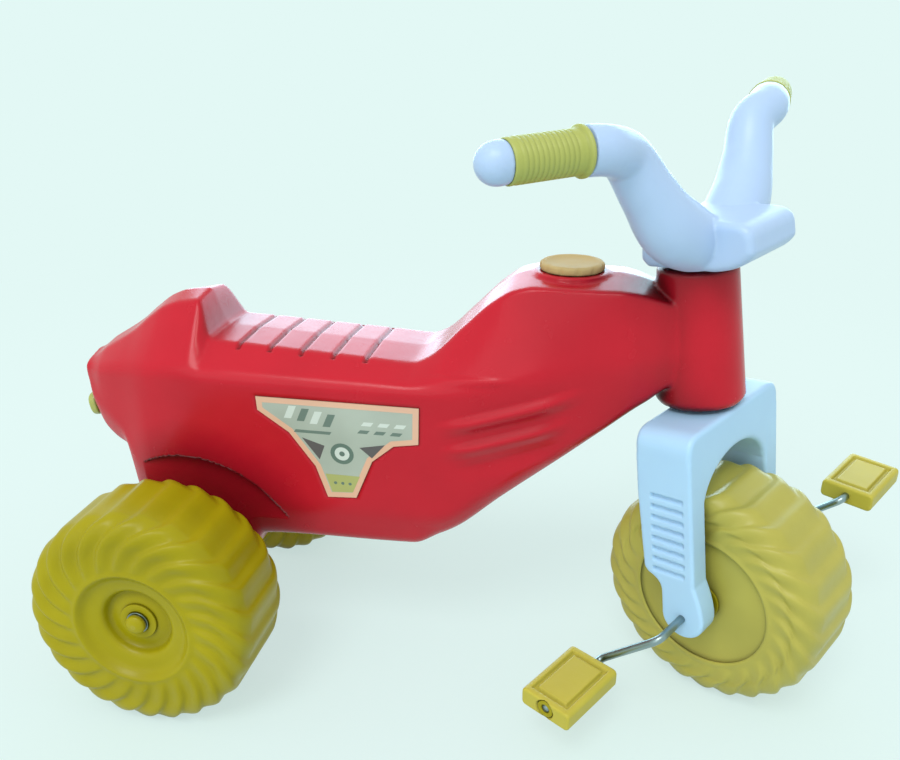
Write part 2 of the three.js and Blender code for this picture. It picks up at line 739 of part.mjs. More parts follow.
const rearAxle = () => rodY(axleRadius, -endCapBore + seatGap, endCapBore - seatGap);

// ---- Fork: in the steering frame, x forward, y left, z along the steering axis -------------------
const blockBottom = headTop + bushFlange + 2 * seatGap;
const steererTop = blockBottom + 20;
const crankBush = { radius: 9, flangeRadius: 13, flange: 2 };

function forkLeg(axleHeight) {
  const shape = new THREE.Shape();
  const tip = { x: forkOffset, z: axleHeight };
  shape.moveTo(tip.x - legTipRadius, tip.z);
  shape.lineTo(tip.x - legTipRadius, tip.z + 21);
  shape.quadraticCurveTo(tip.x - legTipRadius, tip.z + 32, -crownBack + 8, tip.z + 36);
  shape.lineTo(-crownBack + 4, tip.z + 41);
  shape.lineTo(-crownBack, 116);
  shape.lineTo(-crownBack, 152);
  shape.lineTo(crownFront, 152);
  shape.lineTo(crownFront + 1, 34);
  shape.quadraticCurveTo(tip.x + legTipRadius, 14, tip.x + legTipRadius, tip.z);
  shape.absarc(tip.x, tip.z, legTipRadius, 0, -TURN / 2, true);
  return prismY(shape, legInner, legOuter, 3, 3);
}

// The bridge over the wheel, with rounded shoulders and an arch below.
function forkCrown() {
  const shape = new THREE.Shape();
  const springing = crownUnder - 40; // where the arch starts
  shape.moveTo(-legOuter, springing + 6);
  shape.lineTo(-legOuter, crownTop - crownShoulder);
  shape.quadraticCurveTo(-legOuter, crownTop, crownShoulder - legOuter, crownTop);
  shape.lineTo(legOuter - crownShoulder, crownTop);
  shape.quadraticCurveTo(legOuter, crownTop, legOuter, crownTop - crownShoulder);
  shape.lineTo(legOuter, springing + 6);
  const rise = crownUnder - springing;
  const start = Math.asin(6 / rise);
  shape.absellipse(0, springing, legInner, rise, start, TURN / 2 - start);
  return prismX(shape, -crownBack, crownFront, 4, 3);
}

const legRibs = { count: 8, pitch: 10.3, slot: 5.4, depth: 3, bottom: 40, back: -3, front: 27 };

function fork(axleHeight) {
  const parts = [solid(forkCrown()), solid(rodZ(steererRadius, crownTop - 10, steererTop, 28))];
  const tools = [
    solid(rodZ(boltRadius + seatGap, crownUnder - 10, steererTop + 5)),
    solid(rodZ(10, crownUnder - 12, crownUnder + 3)),
  ];
  for (const { sign } of SIDES) {
    parts.push(solid(onSide(sign, forkLeg(axleHeight))));
    const bore = rodY(crankBush.radius + seatGap, legInner - 5, legOuter + 5);
    tools.push(solid(onSide(sign, bore).translate(forkOffset, 0, axleHeight)));
    for (let i = 0; i < legRibs.count; i++) {
      const low = legRibs.bottom + i * legRibs.pitch;
      const slot = roundedBox(legRibs.back, low, legRibs.front, low + legRibs.slot, 2.4);
      tools.push(solid(onSide(sign, prismY(slot, legOuter - legRibs.depth, legOuter + 5, 0, 1))));
    }
  }
  return cut(join(...parts), ...tools);
}

// The bush that carries the crank rod in a fork tip, with its flange towards the wheel.
const forkBush = () =>
  sleeveY(
    crankBush.radius,
    crankRodRadius + runningGap,
    -(legOuter - 1),
    -(legInner - crankBush.flange - seatGap),
    crankBush.flangeRadius,
    crankBush.flange,
  ).rotateX(Math.PI);

// ---- Handlebar -----------------------------------------------------------------------------------
const gripDirection = new THREE.Vector3(
  -Math.sin(gripSweep) * Math.cos(gripRise),
  Math.cos(gripSweep) * Math.cos(gripRise),
  Math.sin(gripRise),
);
const gripStart = new THREE.Vector3(-barSetback, barHalfSpan, barHeight);
const barRadius = gripRadius - gripWall - seatGap;

// A geometry along +Y from the origin, moved onto the left grip's line.
function onGrip(geometry) {
  const turn = new THREE.Quaternion().setFromUnitVectors(Y, gripDirection);
  return geometry.applyQuaternion(turn).translate(gripStart.x, gripStart.y, gripStart.z);
}

// A tube through points, whose two radii follow its length; one stays square to a reference.
function tube(points, radiiAt, reference, sides = 12) {
  const last = points.length - 1;
  const rings = points.map((point, k) => {
    const ahead = points[Math.min(k + 1, last)];
    const behind = points[Math.max(k - 1, 0)];
    const tangent = ahead.clone().sub(behind).normalize();
    const across = reference.clone().projectOnPlane(tangent).normalize();
    const third = tangent.clone().cross(across);
    const [wide, thick] = radiiAt(k / last);
    return Array.from({ length: sides }, (unused, i) => {
      const angle = (i / sides) * TURN;
      const arm = across.clone().multiplyScalar(wide * Math.cos(angle));
      return arm.addScaledVector(third, thick * Math.sin(angle)).add(point);
    });
  });
  return loft(rings);
}

// The left arm flares out of the block, narrows upwards and bends into the grip. Its points are
// drawn for one size of the bar: x, the way out and the rise over the head.
const drawnBar = { halfSpan: 135, rise: 113 };
function armPoint(x, out, rise) {
  const y = (out * barHalfSpan) / drawnBar.halfSpan;
  return new THREE.Vector3(x, y, headTop + (rise * barRise) / drawnBar.rise);
}

function barArm() {
  const path = new THREE.CatmullRomCurve3([
    armPoint(14, 14, 17),
    armPoint(9, 56, 42),
    armPoint(4, 80, 73),
    armPoint(-1, 98, 101),
    gripStart.clone().addScaledVector(gripDirection, -12).add(new THREE.Vector3(0, 0, -2)),
    gripStart.clone().addScaledVector(gripDirection, 7),
  ]);
  const fore = [[0, 28], [0.3, 25], [0.6, 20], [0.85, 17], [1, barRadius]];
  const thick = [[0, 24], [0.26, 28], [0.5, 23], [0.74, 19], [0.88, 17], [1, barRadius]];
  const radiiAt = (t) => [along(fore, t), along(thick, t)];
  return tube(path.getSpacedPoints(10), radiiAt, X, 12);
}

// The bar's straight end under the grip, and the bulb beyond it.
const gripEnd = gripInset + gripLength;
function barEnd() {
  const shoulder = gripEnd + seatGap;
  const tip = gripEnd + barEndLength;
  const dome = [0, 0.3, 0.6, 0.85].map((share) => {
    const angle = (share * TURN) / 4;
    return [barEndRadius * Math.cos(angle), tip - barEndRadius * (1 - Math.sin(angle))];
  });
  const outline = [[0, 0], [barRadius, 0], [barRadius, shoulder], [barEndRadius, shoulder + 1]];
  return onGrip(revolveY([...outline, ...dome, [0, tip]], 14));
}

function stemBlockShape() {
  const { front, back, height } = stemBlock;
  const low = blockBottom;
  const high = low + height;
  const shape = new THREE.Shape();
  shape.moveTo(-back + 6, low);
  shape.lineTo(front - 34, low);
  shape.quadraticCurveTo(front - 8, low + 3, front, low + 17);
  shape.lineTo(front - 1, high - 14);
  shape.quadraticCurveTo(front - 3, high - 4, front - 15, high - 3);
  shape.lineTo(0, high);
  shape.quadraticCurveTo(-back + 4, high - 2, -back, low + 14);
  shape.lineTo(-back, low + 6);
  return shape;
}

const nutSeat = blockBottom + stemBlock.height - 12;

function handlebar() {
  const block = prismY(stemBlockShape(), -stemBlock.halfWidth, stemBlock.halfWidth, 6, 4);
  const arms = SIDES.flatMap(({ sign }) => [
    solid(onSide(sign, barArm())),
    solid(onSide(sign, barEnd())),
  ]);
  const below = new THREE.BoxGeometry(400, 400, 80).translate(0, 0, blockBottom - 40);
  return cut(
    join(solid(block), ...arms),
    solid(below),
    solid(rodZ(steererRadius + seatGap, blockBottom - 30, steererTop + seatGap, 28)),
    solid(rodZ(boltRadius + seatGap, blockBottom, nutSeat + 5)),
    solid(rodZ(11, nutSeat, nutSeat + 40)),
  );
}

// A soft sleeve with a flange against the rider's thumb.
function gripSleeve() {
  const bore = barRadius + seatGap;
  const outline = [
    [bore, gripInset],
    [gripFlangeRadius, gripInset],
    [gripFlangeRadius, gripInset + 3.5],
    [gripRadius, gripInset + 5],
    [gripRadius, gripEnd],
    [bore, gripEnd],
    [bore, gripInset],
  ];
  return onGrip(revolveY(outline, 20));
}

// The long bolt that draws the handlebar down on the fork's steerer.
function hexagon(radius, bore) {
  const shape = new THREE.Shape();
  for (let i = 0; i < 6; i++) {
    const angle = (i / 6) * TURN;
    const corner = [radius * Math.cos(angle), radius * Math.sin(angle)];
    if (i === 0) shape.moveTo(...corner);
    else shape.lineTo(...corner);
  }
  if (bore > 0) shape.holes.push(new THREE.Path().absarc(0, 0, bore, 0, TURN, true));
  return shape;
}

const bolt = { headRadius: 7.4, headHeight: 5.5, washer: 1.5, nut: 6.5 };

function steeringBolt() {
  const headSeat = crownUnder + 3 - seatGap;
  const top = nutSeat + bolt.washer + bolt.nut + 3;
  const head = prismZ(hexagon(bolt.headRadius, 0), headSeat - bolt.headHeight, headSeat);
  return join(solid(head), solid(rodZ(boltRadius, headSeat - 1, top, 16)));
}

function steeringWasher() {
  const low = nutSeat + seatGap;
  return sleeveY(9.5, boltRadius + seatGap, low, low + bolt.washer).rotateX(Math.PI / 2);
}

function steeringNut() {
  const low = nutSeat + bolt.washer + 2 * seatGap;
  return prismZ(hexagon(bolt.headRadius, boltRadius + seatGap), low, low + bolt.nut, 0, 8);
}

// ---- Crank and pedals: in the front wheel's frame, y along its axle ------------------------------
const spindleOut = crankBend + crankFlare; // where the crank arm ends, from the wheel's middle
const pedalInner = spindleOut + rodBendRadius + 2;
const pedalOuter = pedalInner + pedalLength;
const retainer = { radius: 8, length: 4.5, recess: 5.5, sideGap: 0.8 };
const rodEnd = pedalOuter - 1.5;

// The left crank's pedal spindle, in the plane of the crank.
const crankArm = new THREE.Vector3(
  Math.cos(crankAngle) * crankRadius,
  0,
  Math.sin(crankAngle) * crankRadius,
);

// A steel rod bent twice at each side: straight through the wheel, out along each crank arm,
// and out again as the two pedal spindles.
function crankRod() {
  const half = [
    new THREE.Vector3(0, crankBend, 0),
    crankArm.clone().setY(spindleOut),
    crankArm.clone().setY(rodEnd),
  ];
  const corners = [...half.map((p) => p.clone().negate()).reverse(), ...half];
  const path = new THREE.CurvePath();
  let from = corners[0];
  for (let k = 1; k < corners.length - 1; k++) {
    const toBefore = corners[k - 1].clone().sub(corners[k]).setLength(rodBendRadius);
    const toAfter = corners[k + 1].clone().sub(corners[k]).setLength(rodBendRadius);
    const bendStart = corners[k].clone().add(toBefore);
    const bendEnd = corners[k].clone().add(toAfter);
    path.add(new THREE.LineCurve3(from, bendStart));
    path.add(new THREE.QuadraticBezierCurve3(bendStart, corners[k], bendEnd));
    from = bendEnd;
  }
  path.add(new THREE.LineCurve3(from, corners[corners.length - 1]));
  const square = new THREE.Vector3().crossVectors(Y, crankArm).normalize();
  return tube(path.getPoints(3), () => [crankRodRadius, crankRodRadius], square, 10);
}

const frontSpacer = () =>
  sleeveY(
    9,
    crankRodRadius + seatGap,
    hubBushFace(frontDish) + seatGap,
    legInner - crankBush.flange - 2 * seatGap,
  );

// A moulded block round the spindle, with a sunk frame on its upper and lower face.
function pedal() {
  const [halfWidth, halfThickness] = [pedalWidth / 2, pedalThickness / 2];
  const block = roundedBox(-halfWidth, -halfThickness, halfWidth, halfThickness, 5);
  const margin = 6;
  const groove = 4.5;
  const sunk = roundedBox(
    -halfWidth + margin,
    pedalInner + margin,
    halfWidth - margin,
    pedalOuter - margin,
    4,
  );
  const island = roundedBox(
    -halfWidth + margin + groove,
    pedalInner + margin + groove,
    halfWidth - margin - groove,
    pedalOuter - margin - groove,
    3,
  );
  sunk.holes.push(island);
  const depth = 2.5;
  const top = prismZ(sunk, halfThickness - depth, halfThickness + 5);
  return cut(
    solid(prismY(block, pedalInner, pedalOuter, 2)),
    solid(top),
    solid(top.clone().rotateY(Math.PI)),
    solid(rodY(crankRodRadius + runningGap, pedalInner - 5, pedalOuter + 5)),
    solid(rodY(retainer.radius + retainer.sideGap, pedalOuter - retainer.recess, pedalOuter + 5)),
  );
}

// A push-on ring in the pedal's outer end, which keeps the pedal on its spindle.
function pedalRetainer() {
  const bore = crankRodRadius + seatGap;
  const start = pedalOuter - retainer.recess + seatGap;
  const outline = [
    [bore, start],
    [retainer.radius, start],
    [retainer.radius, start + retainer.length - 2],
    [retainer.radius - 2, start + retainer.length],
    [bore, start + retainer.length],
    [bore, start],
  ];
  return revolveY(outline, 12);
}

// ---- Assembly ------------------------------------------------------------------------------------
const part = new THREE.Group();
const trike = new THREE.Group();
part.add(trike);

function place(parent, mesh, x = 0, y = 0, z = 0) {
  mesh.position.set(x, y, z);
  parent.add(mesh);
  return mesh;
}

// Body group.
place(trike, piece("body_shell", bodyShell(), "red", 0.3));
place(trike, piece("fuel_cap", fuelCap(), "lime"));
place(trike, piece("tail_lamp", lampPlace(tailLamp()), "lime"));
place(trike, piece("rear_axle", rearAxle(), "steel", 0.35, 1), 0, 0, axleOverFloor);
for (const { name, sign } of SIDES) {
  const label = onSide(
    sign,
    labelPlate(seatGap, seatGap - labelPocket, seatGap - labelPocket + labelThickness),
  );
  place(trike, piece(`label_${name}`, label, "label", 0.4));
  const rear = new THREE.Group();
  rear.position.set(0, 0, axleOverFloor);
  trike.add(rear);
  place(rear, piece(`axle_spacer_${name}`, onSide(sign, axleSpacer()), "black"));
  place(rear, piece(`axle_washer_${name}`, onSide(sign, axleWasher()), "steel", 0.4, 1));
  place(rear, piece(`axle_cap_${name}`, onSide(sign, axleEndCap()), "lime"));
  const wheelMiddle = (sign * wheelTrack) / 2;
  place(rear, piece(`rear_wheel_${name}`, wheelShell(rearDish), "lime"), 0, wheelMiddle);
  const bush = hubBush(rearDish, axleRadius + runningGap);
  const outer = onSide(sign, bush);
  const inner = onSide(-sign, bush);
  place(rear, piece(`hub_bush_outer_${name}`, outer, "lime"), 0, wheelMiddle);
  place(rear, piece(`hub_bush_inner_${name}`, inner, "lime"), 0, wheelMiddle);
}

// The head's frame carries the bushes; the turned steering frame is inside it.
const head = new THREE.Group();
head.applyMatrix4(headMatrix);
trike.add(head);
place(head, piece("steering_bush_upper", steeringBush(true), "black"));
place(head, piece("steering_bush_lower", steeringBush(false), "black"));

const steering = new THREE.Group();
steering.rotation.z = steerAngle;
head.add(steering);
part.updateMatrixWorld(true);

// The front axle's height along the steering axis, so that the turned wheel stands on the ground.
function frontAxleHeight() {
  const reach = (matrix) => {
    const wheel = geometryOf(wheelShell(frontDish)).applyMatrix4(matrix);
    wheel.computeBoundingBox();
    return -wheel.boundingBox.min.z;
  };
  const ground = axleOverFloor - reach(new THREE.Matrix4());
  const turned = new THREE.Matrix4().extractRotation(steering.matrixWorld);
  const ahead = new THREE.Vector3(forkOffset, 0, 0).applyMatrix4(steering.matrixWorld).z;
  const axis = new THREE.Vector3(0, 0, 1).applyMatrix4(turned).z;
  return (ground + reach(turned) - ahead) / axis;
}
const axleHeight = frontAxleHeight();

place(steering, piece("fork", fork(axleHeight), "ice", 0.3));
place(steering, piece("handlebar", handlebar(), "ice", 0.3));
place(steering, piece("steering_bolt", steeringBolt(), "steel", 0.35, 1));
place(steering, piece("steering_washer", steeringWasher(), "steel", 0.4, 1));
place(steering, piece("steering_nut", steeringNut(), "steel", 0.4, 1));

const drive = new THREE.Group();
drive.position.set(forkOffset, 0, axleHeight);
steering.add(drive);
place(drive, piece("front_wheel", wheelShell(frontDish), "lime"));
place(drive, piece("crank_rod", crankRod(), "steel", 0.35, 1));
for (const { name, sign } of SIDES) {
  place(steering, piece(`grip_${name}`, onSide(sign, gripSleeve()), "lime", 0.5));
  const bush = piece(`fork_bush_${name}`, onSide(sign, forkBush()), "ice");
  place(steering, bush, forkOffset, 0, axleHeight);
  const hub = hubBush(frontDish, crankRodRadius + seatGap);
  place(drive, piece(`drive_hub_${name}`, onSide(sign, hub), "lime"));
  place(drive, piece(`front_spacer_${name}`, onSide(sign, frontSpacer()), "lime"));
  const spindle = new THREE.Group();
  spindle.position.copy(crankArm).multiplyScalar(sign);
  drive.add(spindle);
  place(spindle, piece(`pedal_retainer_${name}`, onSide(sign, pedalRetainer()), "black"));
  const block = piece(`pedal_${name}`, geometryOf(pedal()), "lime");
  block.rotation.set(0, pedalTilt, 0);
  if (sign < 0) block.geometry = onSide(sign, block.geometry);
  spindle.add(block);
}

// The origin is on the ground, in the middle of the footprint.
const box = new THREE.Box3().setFromObject(part, true);
const middle = box.getCenter(new THREE.Vector3());
trike.position.set(-middle.x, -middle.y, -box.min.z);

export default part;
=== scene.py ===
"""A children's moulded plastic tricycle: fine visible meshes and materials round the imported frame."""

import json
import math

import bmesh
import bpy
import numpy as np
from mathutils import Matrix, Vector


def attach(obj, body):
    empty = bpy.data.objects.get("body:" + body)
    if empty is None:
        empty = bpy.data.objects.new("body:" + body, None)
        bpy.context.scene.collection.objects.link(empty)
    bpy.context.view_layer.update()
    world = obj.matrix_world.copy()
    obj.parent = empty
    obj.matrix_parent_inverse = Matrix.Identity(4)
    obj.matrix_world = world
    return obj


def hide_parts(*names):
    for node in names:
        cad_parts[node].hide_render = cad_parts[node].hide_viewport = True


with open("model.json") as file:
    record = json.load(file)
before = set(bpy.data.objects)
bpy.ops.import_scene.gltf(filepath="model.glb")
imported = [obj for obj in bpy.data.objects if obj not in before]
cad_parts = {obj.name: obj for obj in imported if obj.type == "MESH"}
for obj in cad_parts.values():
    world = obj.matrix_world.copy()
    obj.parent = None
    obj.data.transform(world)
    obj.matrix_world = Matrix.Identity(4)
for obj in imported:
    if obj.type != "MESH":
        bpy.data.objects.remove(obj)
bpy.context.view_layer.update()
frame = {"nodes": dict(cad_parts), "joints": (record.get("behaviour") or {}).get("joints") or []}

TURN = 2 * math.pi
MM = 0.001

# ---- Sizes, in millimetres, as in the frame ----
GAP = 0.3

WHEEL_RADIUS = 105
WHEEL_HALF_WIDTH = 49
LUG_COUNT = 24
LUG_HEIGHT = 3
LUG_SWEEP = 0.5
CREST_PLACE = 0.35  # of a lug's pitch, from its valley
LUG_ROUNDING = 0.6  # 0 is a sharp crest, 1 a flat one
LUG_STEPS = 16
HUB_BORE = 13
HUB_RIM = 5
# A dish in a wheel's side: its rim, its steps as (radius, depth), and the hub's depth.
REAR_DISH = {"rim": 52, "steps": [(46, 7), (34, 10), (29, 17.5)], "hub": 15.5}
FRONT_DISH = {"rim": 62, "steps": [(59, 5)], "hub": 5}
BEAD = 5
BUSH_FLANGE = 2.3
BUSH_DEPTH = 12

AXLE_RADIUS = 4
ROD_RADIUS = 3.6
STEERER_RADIUS = 15
BODY_HALF_WIDTH = 74
WHEEL_TRACK = 2 * (BODY_HALF_WIDTH + 21 + WHEEL_HALF_WIDTH)
AXLE_BOSS_END = BODY_HALF_WIDTH - 2
ARCH_RADIUS = WHEEL_RADIUS - 2
ARCH_HALF_WIDTH = 54
TREAD_RADIUS = WHEEL_RADIUS - LUG_HEIGHT

LEG_INNER = WHEEL_HALF_WIDTH + 7
LEG_OUTER = LEG_INNER + 24
CROWN_UNDER = WHEEL_RADIUS + 33
CROWN_TOP = CROWN_UNDER + 36
CROWN_FRONT = 35
CROWN_BACK = 17
CROWN_SHOULDER = 18
LEG_TIP_RADIUS = 20
FORK_OFFSET = 23.7
HEAD_BOTTOM = CROWN_TOP + 3.3
HEAD_TOP = HEAD_BOTTOM + 121.7
HEAD_TOP_RADIUS = 34
HEAD_BOTTOM_RADIUS = 39
BLOCK_BOTTOM = HEAD_TOP + 3

SEAT_FIRST_GROOVE = 56
SEAT_GROOVE_PITCH = 30
SEAT_GROOVES = 5
CAP_CENTRE = 351
CAP_RADIUS = 28
CAP_HEIGHT = 6.5
TANK_TOP = 391

CRANK_RADIUS = 68
CRANK_ANGLE = 0.6
CRANK_BEND = LEG_OUTER + 37
CRANK_FLARE = 9
ROD_BEND_RADIUS = 8
PEDAL_INNER = CRANK_BEND + CRANK_FLARE + ROD_BEND_RADIUS + 2
PEDAL_LENGTH = 72
PEDAL_WIDTH = 50
PEDAL_THICKNESS = 18
PEDAL_TILT = 0.14
PEDAL_OUTER = PEDAL_INNER + PEDAL_LENGTH
PEDAL_RECESS = 5.5

BAR_HEIGHT = HEAD_TOP + 113
BAR_HALF_SPAN = 135
BAR_SETBACK = 4
GRIP_SWEEP = 0.36
GRIP_RISE = 0.03
GRIP_INSET = 9
GRIP_END = GRIP_INSET + 62
GRIP_RADIUS = 16.5
GRIP_FLANGE = 19
BAR_RADIUS = GRIP_RADIUS - 2 - GAP
BAR_END = 22
BAR_END_RADIUS = 15.5
BLOCK = {"front": 68, "back": 31, "half": 40, "height": 43}

SIDES = {"right": -1, "left": 1}

# ---- Frames ----
joints = {j["name"]: j for j in frame["joints"]}


def basis(origin, x, y, z):
    """A matrix that takes millimetres in a local frame to metres in the part's frame."""
    matrix = Matrix((x, y, z)).transposed().to_4x4()
    matrix.translation = origin
    return matrix @ Matrix.Scale(MM, 4)


def joint_place(name):
    return Vector(joints[name]["pos_m"])


AHEAD, LEFT, UP = Vector((1, 0, 0)), Vector((0, 1, 0)), Vector((0, 0, 1))
trike = basis(joint_place("right_rear_spin") - WHEEL_RADIUS * MM * UP, AHEAD, LEFT, UP)
steer_axis = Vector(joints["steer"]["axis"])
head = basis(joint_place("steer"), LEFT.cross(steer_axis), LEFT, steer_axis)
front_axle = Vector(joints["front_wheel_spin"]["axis"])
turned = (front_axle.cross(steer_axis), front_axle, steer_axis)
steering = basis(joint_place("steer"), *turned)
drive = basis(joint_place("front_wheel_spin"), *turned)
axle_height = (steering.inverted() @ joint_place("front_wheel_spin")).z
pedal_frames = {side: basis(joint_place(f"{side}_pedal_spin"), *turned) for side in SIDES}


# ---- Mesh kit: a solid is (vertices as an N x 3 array in millimetres, faces) ----
def along(knots, x):
    """A smooth value along a line of [position, value] knots, joined by a monotone curve."""
    k = np.array(knots, float)
    pos, val = k[:, 0], k[:, 1]
    rise = np.diff(val) / np.diff(pos)
    slope = np.zeros(len(k))
    product, total = rise[:-1] * rise[1:], rise[:-1] + rise[1:]
    one_way = product > 0
    slope[1:-1][one_way] = 2 * product[one_way] / total[one_way]
    x = np.clip(np.asarray(x, float), pos[0], pos[-1])
    i = np.clip(np.searchsorted(pos, x, side="right") - 1, 0, len(k) - 2)
    span = pos[i + 1] - pos[i]
    t = (x - pos[i]) / span
    m0, m1 = slope[i] * span, slope[i + 1] * span
    step = val[i + 1] - val[i]
    return val[i] + t * (m0 + t * (3 * step - 2 * m0 - m1 + t * (m0 + m1 - 2 * step)))


def smooth_line(points, steps):
    """Points along a Catmull-Rom curve through a few points."""
    p = np.array(points, float)
    p = np.vstack([2 * p[0] - p[1], p, 2 * p[-1] - p[-2]])
    t = np.arange(steps)[:, None] / steps
    out = []
    for a, b, c, d in zip(p, p[1:], p[2:], p[3:]):
        mid = (2 * a - 5 * b + 4 * c - d) * t + (3 * b - a - 3 * c + d) * t * t
        out.append(0.5 * (2 * b + (c - a) * t + mid * t))
    return np.vstack([*out, p[-2]])


def quadratic(start, control, end, steps=8):
    t = np.linspace(0, 1, steps + 1)[:, None]
    start, control, end = (np.array(p, float) for p in (start, control, end))
    return (1 - t) ** 2 * start + 2 * t * (1 - t) * control + t * t * end


def arc(cx, cy, rx, ry, start, end, steps=24):
    t = np.linspace(start, end, steps + 1)
    return np.column_stack([cx + rx * np.cos(t), cy + ry * np.sin(t)])


def rounded_corner(before, corner, after, radius, steps):
    """A corner as a quadratic curve that takes up less than half of each side."""
    corner = np.array(corner, float)
    sides = [np.array(p, float) - corner for p in (before, after)]
    lengths = [max(np.linalg.norm(side), 1e-9) for side in sides]
    reach = min(radius, 0.45 * min(lengths))
    start, end = (corner + side / length * reach for side, length in zip(sides, lengths))
    return quadratic(start, corner, end, steps)


def rounded(outline, steps):
    """A closed outline of (x, y, radius) corners with each corner rounded."""
    points = [p[:2] for p in outline]
    out = []
    for i, (*point, radius) in enumerate(outline):
        after = points[(i + 1) % len(points)]
        sides = points[i - 1], point, after
        out.append(rounded_corner(*sides, radius, steps) if radius > 0 else [point])
    return np.vstack(out)


def rounded_path(points, radii):
    """A line from the first point to the last with the corners between them rounded."""
    corners = zip(points, points[1:], points[2:], radii)
    middle = [rounded_corner(*corner, steps=8) for corner in corners]
    return np.vstack([points[0], *middle, points[-1]])


def rounded_box(half_width, half_height, radius):
    """A rectangle's outline about the origin."""
    corners = ((-1, -1), (1, -1), (1, 1), (-1, 1))
    return rounded([(x * half_width, y * half_height, radius) for x, y in corners], 8)


def skin(rings, closed=False):
    """Rings with as many points each, skinned in order, with flat caps or joined last to first."""
    rings = np.array(rings, float)
    rows, count = rings.shape[:2]
    faces = []
    for j in range(rows if closed else rows - 1):
        a, b = j * count, ((j + 1) % rows) * count
        for i in range(count):
            n = (i + 1) % count
            faces.append((a + i, a + n, b + n, b + i))
    if not closed:
        faces.append(tuple(range(count))[::-1])
        faces.append(tuple(range((rows - 1) * count, rows * count)))
    return rings.reshape(-1, 3), faces


def revolve(profile, segments=64, axis="y"):
    """A closed or axis-to-axis profile of (radius, height) turned round an axis."""
    turn = np.arange(segments) / segments * TURN
    rings = []
    for r, h in profile:
        r = max(r, 1e-3)
        rings.append(np.stack([r * np.sin(turn), np.full(segments, h), r * np.cos(turn)], 1))
    closed = profile[0] == profile[-1]
    vertices, faces = skin(rings[:-1] if closed else rings, closed)
    if axis == "z":
        vertices = vertices[:, [0, 2, 1]] * [1, -1, 1]
    return vertices, faces


def revolve_rounded(outline, axis="y"):
    """A closed outline of (radius, height, corner's radius) turned round an axis."""
    profile = [tuple(p) for p in rounded(outline, 3)]
    return revolve([*profile, profile[0]], axis=axis)


def rod(radius, low, high, segments=48):
    """A round bar along Z."""
    return revolve([(0, low), (radius, low), (radius, high), (0, high)], segments, "z")


def ring(radius, bore, start, end, edge=0.5, axis="y"):
    """A sleeve or washer with softened edges."""
    outline = [(bore, start, edge), (radius, start, edge), (radius, end, edge), (bore, end, edge)]
    return revolve_rounded(outline, axis)


def tube(points, radii, reference, sides):
    """A tube through points with an elliptical section, one radius square to a reference."""
    points = np.array(points, float)
    last = len(points) - 1
    rings = []
    angle = np.arange(sides)[:, None] / sides * TURN
    for k, p in enumerate(points):
        tangent = points[min(k + 1, last)] - points[max(k - 1, 0)]
        tangent /= np.linalg.norm(tangent)
        across = np.array(reference, float) - np.dot(reference, tangent) * tangent
        across /= np.linalg.norm(across)
        third = np.cross(tangent, across)
        wide, thick = radii(k / last)
        rings.append(p + wide * np.cos(angle) * across + thick * np.sin(angle) * third)
    return skin(rings)


def shrunk(outline, inset):
    """An outline drawn in by an inset all round."""
    p = np.array(outline, float)
    area = np.sum(p[:, 0] * np.roll(p[:, 1], -1) - np.roll(p[:, 0], -1) * p[:, 1])
    normals = []
    for step in (p - np.roll(p, 1, 0), np.roll(p, -1, 0) - p):
        length = np.maximum(np.linalg.norm(step, axis=1, keepdims=True), 1e-9)
        normals.append(np.stack([-step[:, 1], step[:, 0]], 1) / length * np.sign(area))
    corner = (normals[0] + normals[1]) / (1 + np.sum(normals[0] * normals[1], 1, keepdims=True))
    return p + corner * inset


def prism(outline, low, high, plane, bevel=0.0, steps=4):
    """An outline in a plane ('yz' or 'xz'), made solid between two heights, with round edges."""
    if bevel > 0:
        turn = np.linspace(0, TURN / 4, steps + 1)
        inset = [(bevel * (1 - math.sin(a)), bevel * (1 - math.cos(a))) for a in turn]
        levels = [(low + up, back) for back, up in inset]
        levels += [(high - up, back) for back, up in inset[::-1]]
    else:
        levels = [(low, 0), (high, 0)]
    order = {"yz": (2, 0, 1), "xz": (0, 2, 1)}[plane]
    rings = []
    for height, back in levels:
        full = np.column_stack([shrunk(outline, back), np.full(len(outline), height)])
        rings.append(full[:, order])
    return skin(rings)


def mirrored(part, sign):
    """A left-hand solid, or its mirror image on the right."""
    vertices, faces = part
    return part if sign > 0 else (vertices * [1, -1, 1], [f[::-1] for f in faces])


def moved(part, offset):
    return part[0] + np.array(offset, float), part[1]


def placed(points, matrix):
    """Points taken through a 4 x 4 matrix."""
    return (np.column_stack([points, np.ones(len(points))]) @ np.array(matrix).T)[:, :3]


def added(name, data):
    """A new object in the scene."""
    made = bpy.data.objects.new(name, data)
    bpy.context.scene.collection.objects.link(made)
    return made


def make(name, parts, place):
    """One object from solids in a local frame."""
    faces, start = [], 0
    for vertices, part_faces in parts:
        faces += [tuple(i + start for i in face) for face in part_faces]
        start += len(vertices)
    points = placed(np.vstack([vertices for vertices, _ in parts]), place)
    mesh = bpy.data.meshes.new(name)
    mesh.from_pydata(points.tolist(), [], faces)
    mesh.update()
    shape = bmesh.new()
    shape.from_mesh(mesh)
    bmesh.ops.recalc_face_normals(shape, faces=shape.faces)
    shape.to_mesh(mesh)
    shape.free()
    mesh.shade_smooth()
    return added(name, mesh)


